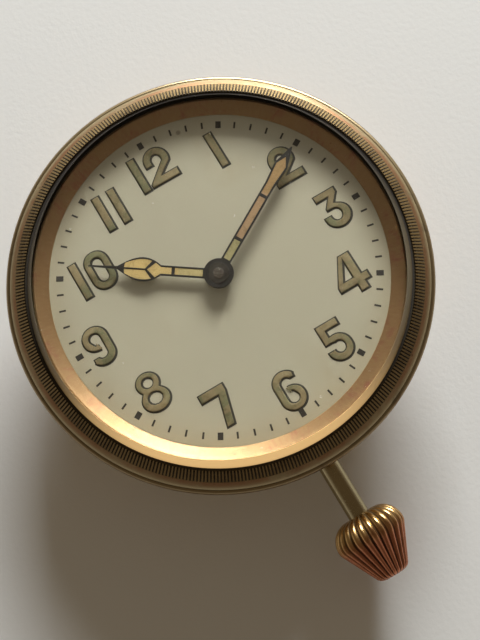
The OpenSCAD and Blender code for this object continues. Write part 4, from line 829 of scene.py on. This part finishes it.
# %% [markdown]
# ## The numerals
#
# The numerals are plain upright figures, each a flat dark print with luminous paste laid on it, a
# little narrower, so that a dark outline shows all round. Drawing each figure once as a closed
# outline gives both: a flat curve fills the outline for the print, and the same curve drawn in by
# its Offset and given a small round Bevel becomes the paste. Figures are drawn in millimetres from
# their own lower left corner.

# %% Corners and rounds for drawing


def bow(x, y, rx, ry, start, end, steps):
    """Points on an oval about (x, y) from one angle to another, in degrees."""
    points = []
    for i in range(steps + 1):
        turn = math.radians(start + (end - start) * i / steps)
        points.append((x + rx * math.cos(turn), y + ry * math.sin(turn)))
    return points


def soft_box(left, low, right, high, rx, ry):
    middles = ((right - rx, high - ry), (left + rx, high - ry), (left + rx, low + ry),
               (right - rx, low + ry))
    return [point for i, (x, y) in enumerate(middles)
            for point in bow(x, y, rx, ry, 90 * i, 90 * i + 90, 6)]


def half_turned(outline, width, height):
    return [(width - x, height - y) for x, y in outline]


# %% Outlines of the figures
BAR = [(0, 0), (1.7, 0), (1.7, 6.8), (0, 6.8)]
TWO = ([(0, 0), (5.5, 0), (5.5, 1.7), (3.05, 1.7)] + bow(2.95, 4.3, 2.35, 2.4, -27, 180, 16)
       + [(0.6, 3.5), (2.2, 3.5)] + bow(2.9, 4.3, 0.72, 0.8, 180, -25, 12) + [(0, 0.95)])
THREE = ([(0, 2.85)] + bow(2.45, 2.25, 2.45, 2.25, 180, 360, 14)
         + bow(2.6, 2.35, 2.3, 2.1, 8, 62, 5)
         + [(3.25, 4.45), (4.4, 5.8), (4.4, 7.0), (0.2, 7.0), (0.2, 5.45), (2.2, 5.45), (1.1, 4.1),
            (1.1, 3.4)] + bow(2.35, 2.5, 0.8, 0.9, 95, -180, 14) + [(1.55, 2.85)])
FOUR = [(3.05, 0), (4.9, 0), (4.9, 1.3), (5.9, 1.3), (5.9, 3.0), (4.9, 3.0), (4.9, 7.2), (2.7, 7.2),
        (0, 2.5), (0, 1.3), (3.05, 1.3)]
FOUR_HOLE = [(1.75, 3.0), (3.05, 5.35), (3.05, 3.0)]
FIVE = ([(0, 2.5)] + bow(2.35, 2.2, 2.35, 2.2, 180, 360, 14) + bow(2.35, 2.5, 2.35, 2.3, 6, 104, 8)
        + [(1.8, 5.5), (4.3, 5.5), (4.3, 7.1), (0.2, 7.1), (0.2, 3.35), (1.5, 3.35)]
        + bow(2.4, 2.45, 0.8, 0.85, 115, -180, 14) + [(1.6, 2.5)])
SIX = ([(4.3, 5.0), (4.3, 5.6)] + bow(2.35, 4.85, 2.35, 2.15, 28, 180, 12)
       + bow(2.33, 2.2, 2.33, 2.2, 180, 360, 14) + bow(2.4, 2.4, 2.25, 2.0, 8, 95, 8)
       + [(2.2, 4.4), (2.2, 3.2), (2.75, 3.1)] + bow(2.4, 2.2, 0.78, 0.7, 20, -180, 12)
       + bow(2.45, 4.75, 0.83, 0.7, 180, 60, 8) + [(3.2, 5.0)])
SEVEN = [(1.6, 0), (3.35, 0), (4.8, 5.5), (4.8, 6.95), (0, 6.95), (0, 5.15), (2.95, 5.15)]
EIGHT = bow(2.55, 2.15, 2.55, 2.15, 143, 397, 20) + bow(2.55, 5.05, 2.15, 1.95, -38, 218, 20)
EIGHT_HOLES = [bow(2.55, 5.1, 0.78, 0.68, 360, 0, 12), bow(2.55, 2.4, 1.05, 0.85, 360, 0, 12)]
ZERO = soft_box(0, 0, 4.55, 7.0, 2.1, 2.2)
ZERO_HOLE = soft_box(1.5, 1.6, 3.05, 5.5, 0.75, 0.8)[::-1]
print("points in the six:", len(SIX))

# %% [markdown]
# Each figure's place is the lower left corner of its box on the dial, measured from the centre, so
# a two-figure hour is simply two figures.

# %% Where the figures stand
figures = [
    ("1", [BAR], (9.7, 15.35)), ("2", [TWO], (15.8, 7.4)), ("3", [THREE], (19.4, -3.5)),
    ("4", [FOUR, FOUR_HOLE], (15.2, -14.3)), ("5", [FIVE], (8.3, -22.4)),
    ("6", [SIX], (-2.2, -25.4)), ("7", [SEVEN], (-13.1, -22.1)),
    ("8", [EIGHT] + EIGHT_HOLES, (-21.2, -14.4)),
    ("9", [half_turned(SIX, 4.65, 7.0)], (-24.65, -3.55)),
    ("10a", [BAR], (-20.6, 7.35)), ("10b", [ZERO, ZERO_HOLE], (-18.3, 7.3)),
    ("11a", [BAR], (-11.75, 15.35)), ("11b", [BAR], (-8.95, 15.35)),
    ("12a", [BAR], (-3.6, 18.0)), ("12b", [TWO], (-1.85, 18.1)),
]
OUTLINE = 0.27
PASTE_ROUND = 0.1
PASTE_HEIGHT = 0.16


def figure_curve(name, outlines, corner, draw_in, thickness, rounding, bottom):
    """A filled flat curve of the outlines, drawn in by draw_in, of the given thickness."""
    data = bpy.data.curves.new(name, "CURVE")
    data.dimensions = "2D"
    data.fill_mode = "BOTH"
    for outline in outlines:
        spline = data.splines.new("POLY")
        spline.points.add(len(outline) - 1)
        for point, (x, y) in zip(spline.points, outline):
            point.co = ((corner[0] + x) * MM, (corner[1] + y) * MM, 0, 1)
        spline.use_cyclic_u = True
    data.offset = -(draw_in + rounding) * MM
    data.bevel_depth = rounding * MM
    data.bevel_resolution = 2
    data.extrude = (thickness / 2 - rounding) * MM
    piece = bpy.data.objects.new(name, data)
    bpy.context.collection.objects.link(piece)
    piece.location.z = (bottom + thickness / 2) * MM
    return piece


# %% Print the figures and lay the paste
# The paste is laid a little up and to the left of its print, so that the dark print shows wider on
# the lower right side, as a painted shadow of the raised paste.
PAINTED_SHADOW_SHIFT = 0.08
for part, draw_in, thickness, rounding, bottom, shadow_shift, finish, slot_name in (
        ("print", 0.0, INK_THICKNESS, 0.0, DIAL_TOP, 0.0, "ink", "hand_black"),
        ("paste", OUTLINE, PASTE_HEIGHT + PASTE_ROUND, PASTE_ROUND, DIAL_TOP - PASTE_ROUND,
         PAINTED_SHADOW_SHIFT, "numeral_paste", "lume")):
    made = []
    for label, outlines, (x, y) in figures:
        name = f"{part}_{label}"
        made.append(settle(figure_curve(name, outlines, (x - shadow_shift, y + shadow_shift), draw_in,
                                        thickness, rounding, bottom), name))
    joined = join(made)
    joined.name = f"numeral_{part}"
    joined.data.name = joined.name
    joined.data.materials.clear()
    joined.data.materials.append(finishes[finish])
    if part == "paste":
        smooth(joined, 50)
    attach(joined, "clock_frame")
    print(joined.name, "faces:", len(joined.data.polygons))

# %% [markdown]
# ## Tubes cut into rings
#
# The crown, the coin edge and the bezel are all turned pieces. Each starts as an open tube, cut
# into as many rings as its section has points, and every point of a ring is then put where the
# section, and a flute or a notch, wants it. Cutting them out of a solid would leave ragged faces,
# and a bump would leave the outline smooth.

# %% Cut a tube into rings and turn it to a section


def tube_of_rings(around, rings, place):
    """An open tube whose points lie where place(ring, turn) says, in millimetres."""
    bpy.ops.mesh.primitive_cylinder_add(
        vertices=around, radius=1, depth=2, end_fill_type="NOTHING")
    piece = bpy.context.object
    switch("EDIT")
    bpy.ops.mesh.select_mode(type="EDGE")
    bpy.ops.mesh.select_all(action="DESELECT")
    switch("OBJECT")
    for edge in piece.data.edges:
        a, b = (piece.data.vertices[i].co for i in edge.vertices)
        edge.select = abs(a.z - b.z) > 1
    switch("EDIT")
    bpy.ops.mesh.subdivide_edgering(number_cuts=rings - 2, interpolation="LINEAR")
    switch("OBJECT")
    for vertex in piece.data.vertices:
        ring = round((1 - vertex.co.z) / 2 * (rings - 1))
        vertex.co = mm(*place(ring, math.atan2(vertex.co.y, vertex.co.x)))
    return piece


def turned_ring(around, section, name, sink=None):
    """A ring with the section's points (radius, height), each sunk as sink(ring, turn) says."""
    def place(ring, turn):
        radius, height = section[ring]
        inward, down = sink(ring, turn) if sink else (0.0, 0.0)
        radius -= inward
        return (radius * math.cos(turn), radius * math.sin(turn), height - down)

    piece = tube_of_rings(around, len(section), place)
    switch("EDIT")
    bpy.ops.mesh.select_all(action="DESELECT")
    bpy.ops.mesh.select_mode(type="EDGE")
    bpy.ops.mesh.select_non_manifold()
    bpy.ops.mesh.bridge_edge_loops()
    switch("OBJECT")
    return settle(piece, name)


print("tubes ready")

# %% [markdown]
# ## The crown, cut finely
#
# The real crown is turned to a rounded shoulder and a cone, and then fluted: 24 round ridges with
# sharp valleys that fade out at the face and at the tip. With twelve points to each flute, each
# point of a ring is drawn in by its place in the flute. That gives smooth ridges and crisp valleys,
# which the light needs.

# %% Profile of the crown
CROWN_FACE = 44.0
FACE_RADIUS = 2.5
SHOULDER = 3.6
WIDEST = FACE_RADIUS + SHOULDER
WAIST = 2.0
TAPER = math.radians(27)
CONE_END = 54.2
TIP_ROUND = 1.465
BORE = 1.82
FLUTE_RISE = 1.35
QUARTER = math.radians(90)


def crown_profile():
    """Distance from the clock's centre and radius of each ring, and how deep its flutes are."""
    rings = [(CROWN_FACE, BORE, 0.0), (CROWN_FACE, FACE_RADIUS, 0.0)]
    for i in range(1, 17):
        t = QUARTER * i / 16
        rings.append((CROWN_FACE + SHOULDER * (1 - math.cos(t)),
                      FACE_RADIUS + SHOULDER * math.sin(t), min(1.0, FLUTE_RISE * math.sin(t))))
    for i in range(1, 7):
        t = TAPER * i / 6
        rings.append((CROWN_FACE + SHOULDER + WAIST * math.sin(t),
                      WIDEST - WAIST * (1 - math.cos(t)), 1.0))
    start, wide, _ = rings[-1]
    for i in range(1, 15):
        along = start + (CONE_END - start) * i / 14
        rings.append((along, wide - (along - start) * math.tan(TAPER), 1.0))
    start, wide, _ = rings[-1]
    for i in range(1, 9):
        t = TAPER + (QUARTER - TAPER) * i / 8
        rings.append((start + TIP_ROUND * (math.sin(t) - math.sin(TAPER)),
                      wide - TIP_ROUND * (math.cos(TAPER) - math.cos(t)), 1 - i / 8))
    return rings


profile = crown_profile()
print("rings:", len(profile), "crown from", profile[0][0], "to", round(profile[-1][0], 2), "mm")

# %% Cut the crown
FLUTE_POINTS = 12
FLUTE_SHARE = 0.105
FLUTE_SHARPNESS = 0.8


def crown_point(ring, turn):
    along, wide, deep = profile[ring]
    cut = 1 - abs(math.cos(turn * FLUTES / 2)) ** FLUTE_SHARPNESS
    reach = wide * (1 - FLUTE_SHARE * deep * cut)
    return (reach * math.sin(turn), -along, STEM_LEVEL + reach * math.cos(turn))


tube = tube_of_rings(FLUTES * FLUTE_POINTS, len(profile), crown_point)
switch("EDIT")
bpy.ops.mesh.select_all(action="DESELECT")
bpy.ops.mesh.select_mode(type="VERT")
bpy.ops.mesh.select_non_manifold()
bpy.ops.mesh.edge_face_add()
switch("OBJECT")
crown = settle(tube, "fluted_crown")
smooth(crown, 40)
crown.data.materials.append(finishes["crown_gilt"])
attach(crown, "stem_and_crown")
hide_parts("crown")
print("crown faces:", len(crown.data.polygons))

# %% [markdown]
# ## The coin edge, cut with flat crests
#
# A coin edge is rolled on with a wheel that leaves flat crests between narrow notches, and it is
# the crests that flash in the light. Three rings with ten points to each notch give the hidden
# back, the top and the foot of the slope, and the points in a notch are sunk into it.

# %% Roll the notches
NOTCH_POINTS = 10
NOTCH_DEPTH = 0.22
NOTCH_FROM = 0.26
NOTCH_WALL = 0.12
FOOT_SHARE = 0.45
BEZEL_LIP = 19.0
BAND_TOP = (31.5, 19.36)
BAND_FOOT = (33.18, 18.27)
BAND_SLOPE = math.atan2(BAND_TOP[1] - BAND_FOOT[1], BAND_FOOT[0] - BAND_TOP[0])


def notch(ring, turn):
    """How far a point sinks inwards and down: all the way at the top, less at the foot."""
    if ring == 0:
        return (0.0, 0.0)
    phase = abs((turn * NOTCHES / (2 * math.pi) + 0.5) % 1 - 0.5)
    sunk = NOTCH_DEPTH * min(1.0, max(0.0, (phase - NOTCH_FROM) / NOTCH_WALL))
    if ring == 1:
        return (sunk * math.sin(BAND_SLOPE), sunk * math.cos(BAND_SLOPE))
    return (FOOT_SHARE * sunk * math.sin(BAND_SLOPE), 0.0)


band_section = [(BAND_TOP[0], BEZEL_LIP - 0.1), BAND_TOP, BAND_FOOT]
band = turned_ring(NOTCHES * NOTCH_POINTS, band_section, "notched_band", notch)
band.data.materials.append(finishes["coin_edge"])
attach(band, "bezel_and_glass")
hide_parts("coin_edge")
print("band faces:", len(band.data.polygons))

# %% [markdown]
# ## The bezel, turned with a slope and a bead
#
# The rim is not plainly round: a flat slope beside the coin edge catches the window as a broad
# band, and a fine groove parts it from a small bead at the outside. The section is drawn point by
# point, a rounded corner as a short run of points, and the tube is turned to it.

# %% Section of the bezel
BEZEL_FOOT = 15.6
BEZEL_OUT = 35
CORNER = 0.7
BEAD = (34.42, 16.78, 0.58, 0.72)
INSIDE = 31.65
BEZEL_POINTS = 360
section = (
    [(INSIDE, BEZEL_FOOT)]
    + bow(BEZEL_OUT - CORNER, BEZEL_FOOT + CORNER, CORNER, CORNER, -90, 0, 6)
    + bow(*BEAD, 0, 95, 6)[1:]
    + [(34.33, 17.42), (34.27, 17.53), (33.9, 17.8), (33.5, 18.07), (33.2, 18.25), (32.1, 18.25),
       (32.1, 18.95), (31.24, BEZEL_LIP), (31.24, 18.45), (30.35, 18.45), (30.35, 18.05),
       (INSIDE, 18.05)])
turned_bezel = turned_ring(BEZEL_POINTS, section, "turned_bezel")
smooth(turned_bezel, 28)
turned_bezel.data.materials.append(finishes["bezel_gilt"])
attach(turned_bezel, "bezel_and_glass")
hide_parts("bezel")
print("bezel faces:", len(turned_bezel.data.polygons))

# %% [markdown]
# The painted light of the ground edge sits on a film a few hundredths of a millimetre thick that
# lies on the slope of the glass, from its foot to just under its top.

# %% Lay the film with the painted edge light on the glass
FILM_POINTS = 256
film = [(30.96, 19.10), (31.02, 19.10), (29.96, 21.44), (29.88, 21.44)]
slope = turned_ring(FILM_POINTS, film, "painted_edge_light")
smooth(slope, 40)
slope.data.materials.append(finishes["painted_edge_light"])
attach(slope, "bezel_and_glass")
print("ground edge faces:", len(slope.data.polygons))

# %% [markdown]
# ## Paper, light and camera
#
# The clock lies on a sheet of pale paper beside a window. A large plane with a fine fibre bump is
# the paper. One soft lamp above the top of the picture is the window, low enough to throw the
# clock's shadow towards the lower edge. The room is the world: pale walls at the horizon and a dim,
# warm ceiling, which leaves the shadows soft and brown and gives the gilding something dark to
# show.

# %% Paper
PAPER_SIZE = 3.0
bpy.ops.mesh.primitive_plane_add(size=PAPER_SIZE, location=(0, 0, 0))
paper = settle(bpy.context.object, "paper")
material, tree, shader = new_material("pale_paper")
fibre = mask_of(tree, "grain", size=0.9)
broad = mask_of(tree, "tarnish", size=60.0, amount=0.5)
wire(tree, shader, {
    "Base Color": tint(tree, broad, swatch(241, 242, 239), swatch(237, 236, 232)),
    "Roughness": 0.9})
raise_surface(tree, shader, fibre, 0.03)
paper.data.materials.append(material)
print("paper is", PAPER_SIZE, "m square")

# %% Window light and world
WINDOW_TURN = math.radians(37)
WINDOW_RISE = math.radians(24)
WINDOW_FAR = 1.0
WALLS = (0.42, 0.39, 0.345, 1.0)
CEILING = (0.125, 0.094, 0.06, 1.0)
x, y, _ = heading(WINDOW_TURN, math.cos(WINDOW_RISE))
window_at = Vector((x, y, math.sin(WINDOW_RISE))) * WINDOW_FAR
lamp = bpy.data.lights.new("window", "AREA")
lamp.shape = "RECTANGLE"
lamp.size = 0.52
lamp.size_y = 0.26
lamp.energy = 14.6
lamp.color = (0.975, 0.99, 1.0)
window = bpy.data.objects.new("window", lamp)
window.location = window_at
window.rotation_euler = (-window_at).to_track_quat("-Z", "Y").to_euler()
bpy.context.collection.objects.link(window)
world = bpy.data.worlds.new("room")
bpy.context.scene.world = world
world.use_nodes = True
tree = world.node_tree
sky = add_node(tree, "ShaderNodeTexCoord").outputs["Generated"]
rise = add_node(tree, "ShaderNodeSeparateXYZ", {"Vector": sky}).outputs[2]
room = tint(tree, fade(tree, rise, 0.02, 0.6), WALLS, CEILING)
feed(tree, room, tree.nodes["Background"].inputs["Color"])
print("window at", [round(v, 3) for v in window_at])

# %% [markdown]
# The camera stands where the photographer's did, found from the ellipse of the bezel and the ring:
# nearly overhead, a little towards the crown, turned so that 12 o'clock leans to the left.

# %% Camera
CAMERA_AT = (-13.875, -40.991, 188.020)
CAMERA_RIGHT = (0.859592, -0.509913, -0.033033)
CAMERA_UP = (0.505436, 0.838986, 0.201585)
CAMERA_BACK = (-0.075076, -0.189977, 0.978914)
camera_data = bpy.data.cameras.new("camera")
camera_data.sensor_width = 36.0
camera_data.sensor_fit = "AUTO"
camera_data.lens = 60.881
camera_data.clip_start = 0.01
camera = bpy.data.objects.new("camera", camera_data)
bpy.context.collection.objects.link(camera)
turn = Matrix((CAMERA_RIGHT, CAMERA_UP, CAMERA_BACK)).transposed()
camera.matrix_world = Matrix.Translation(mm(*CAMERA_AT)) @ turn.to_4x4()
bpy.context.scene.camera = camera
bpy.context.scene.view_settings.view_transform = "Standard"
print("camera height in mm:", round(camera.location.z / MM, 1))
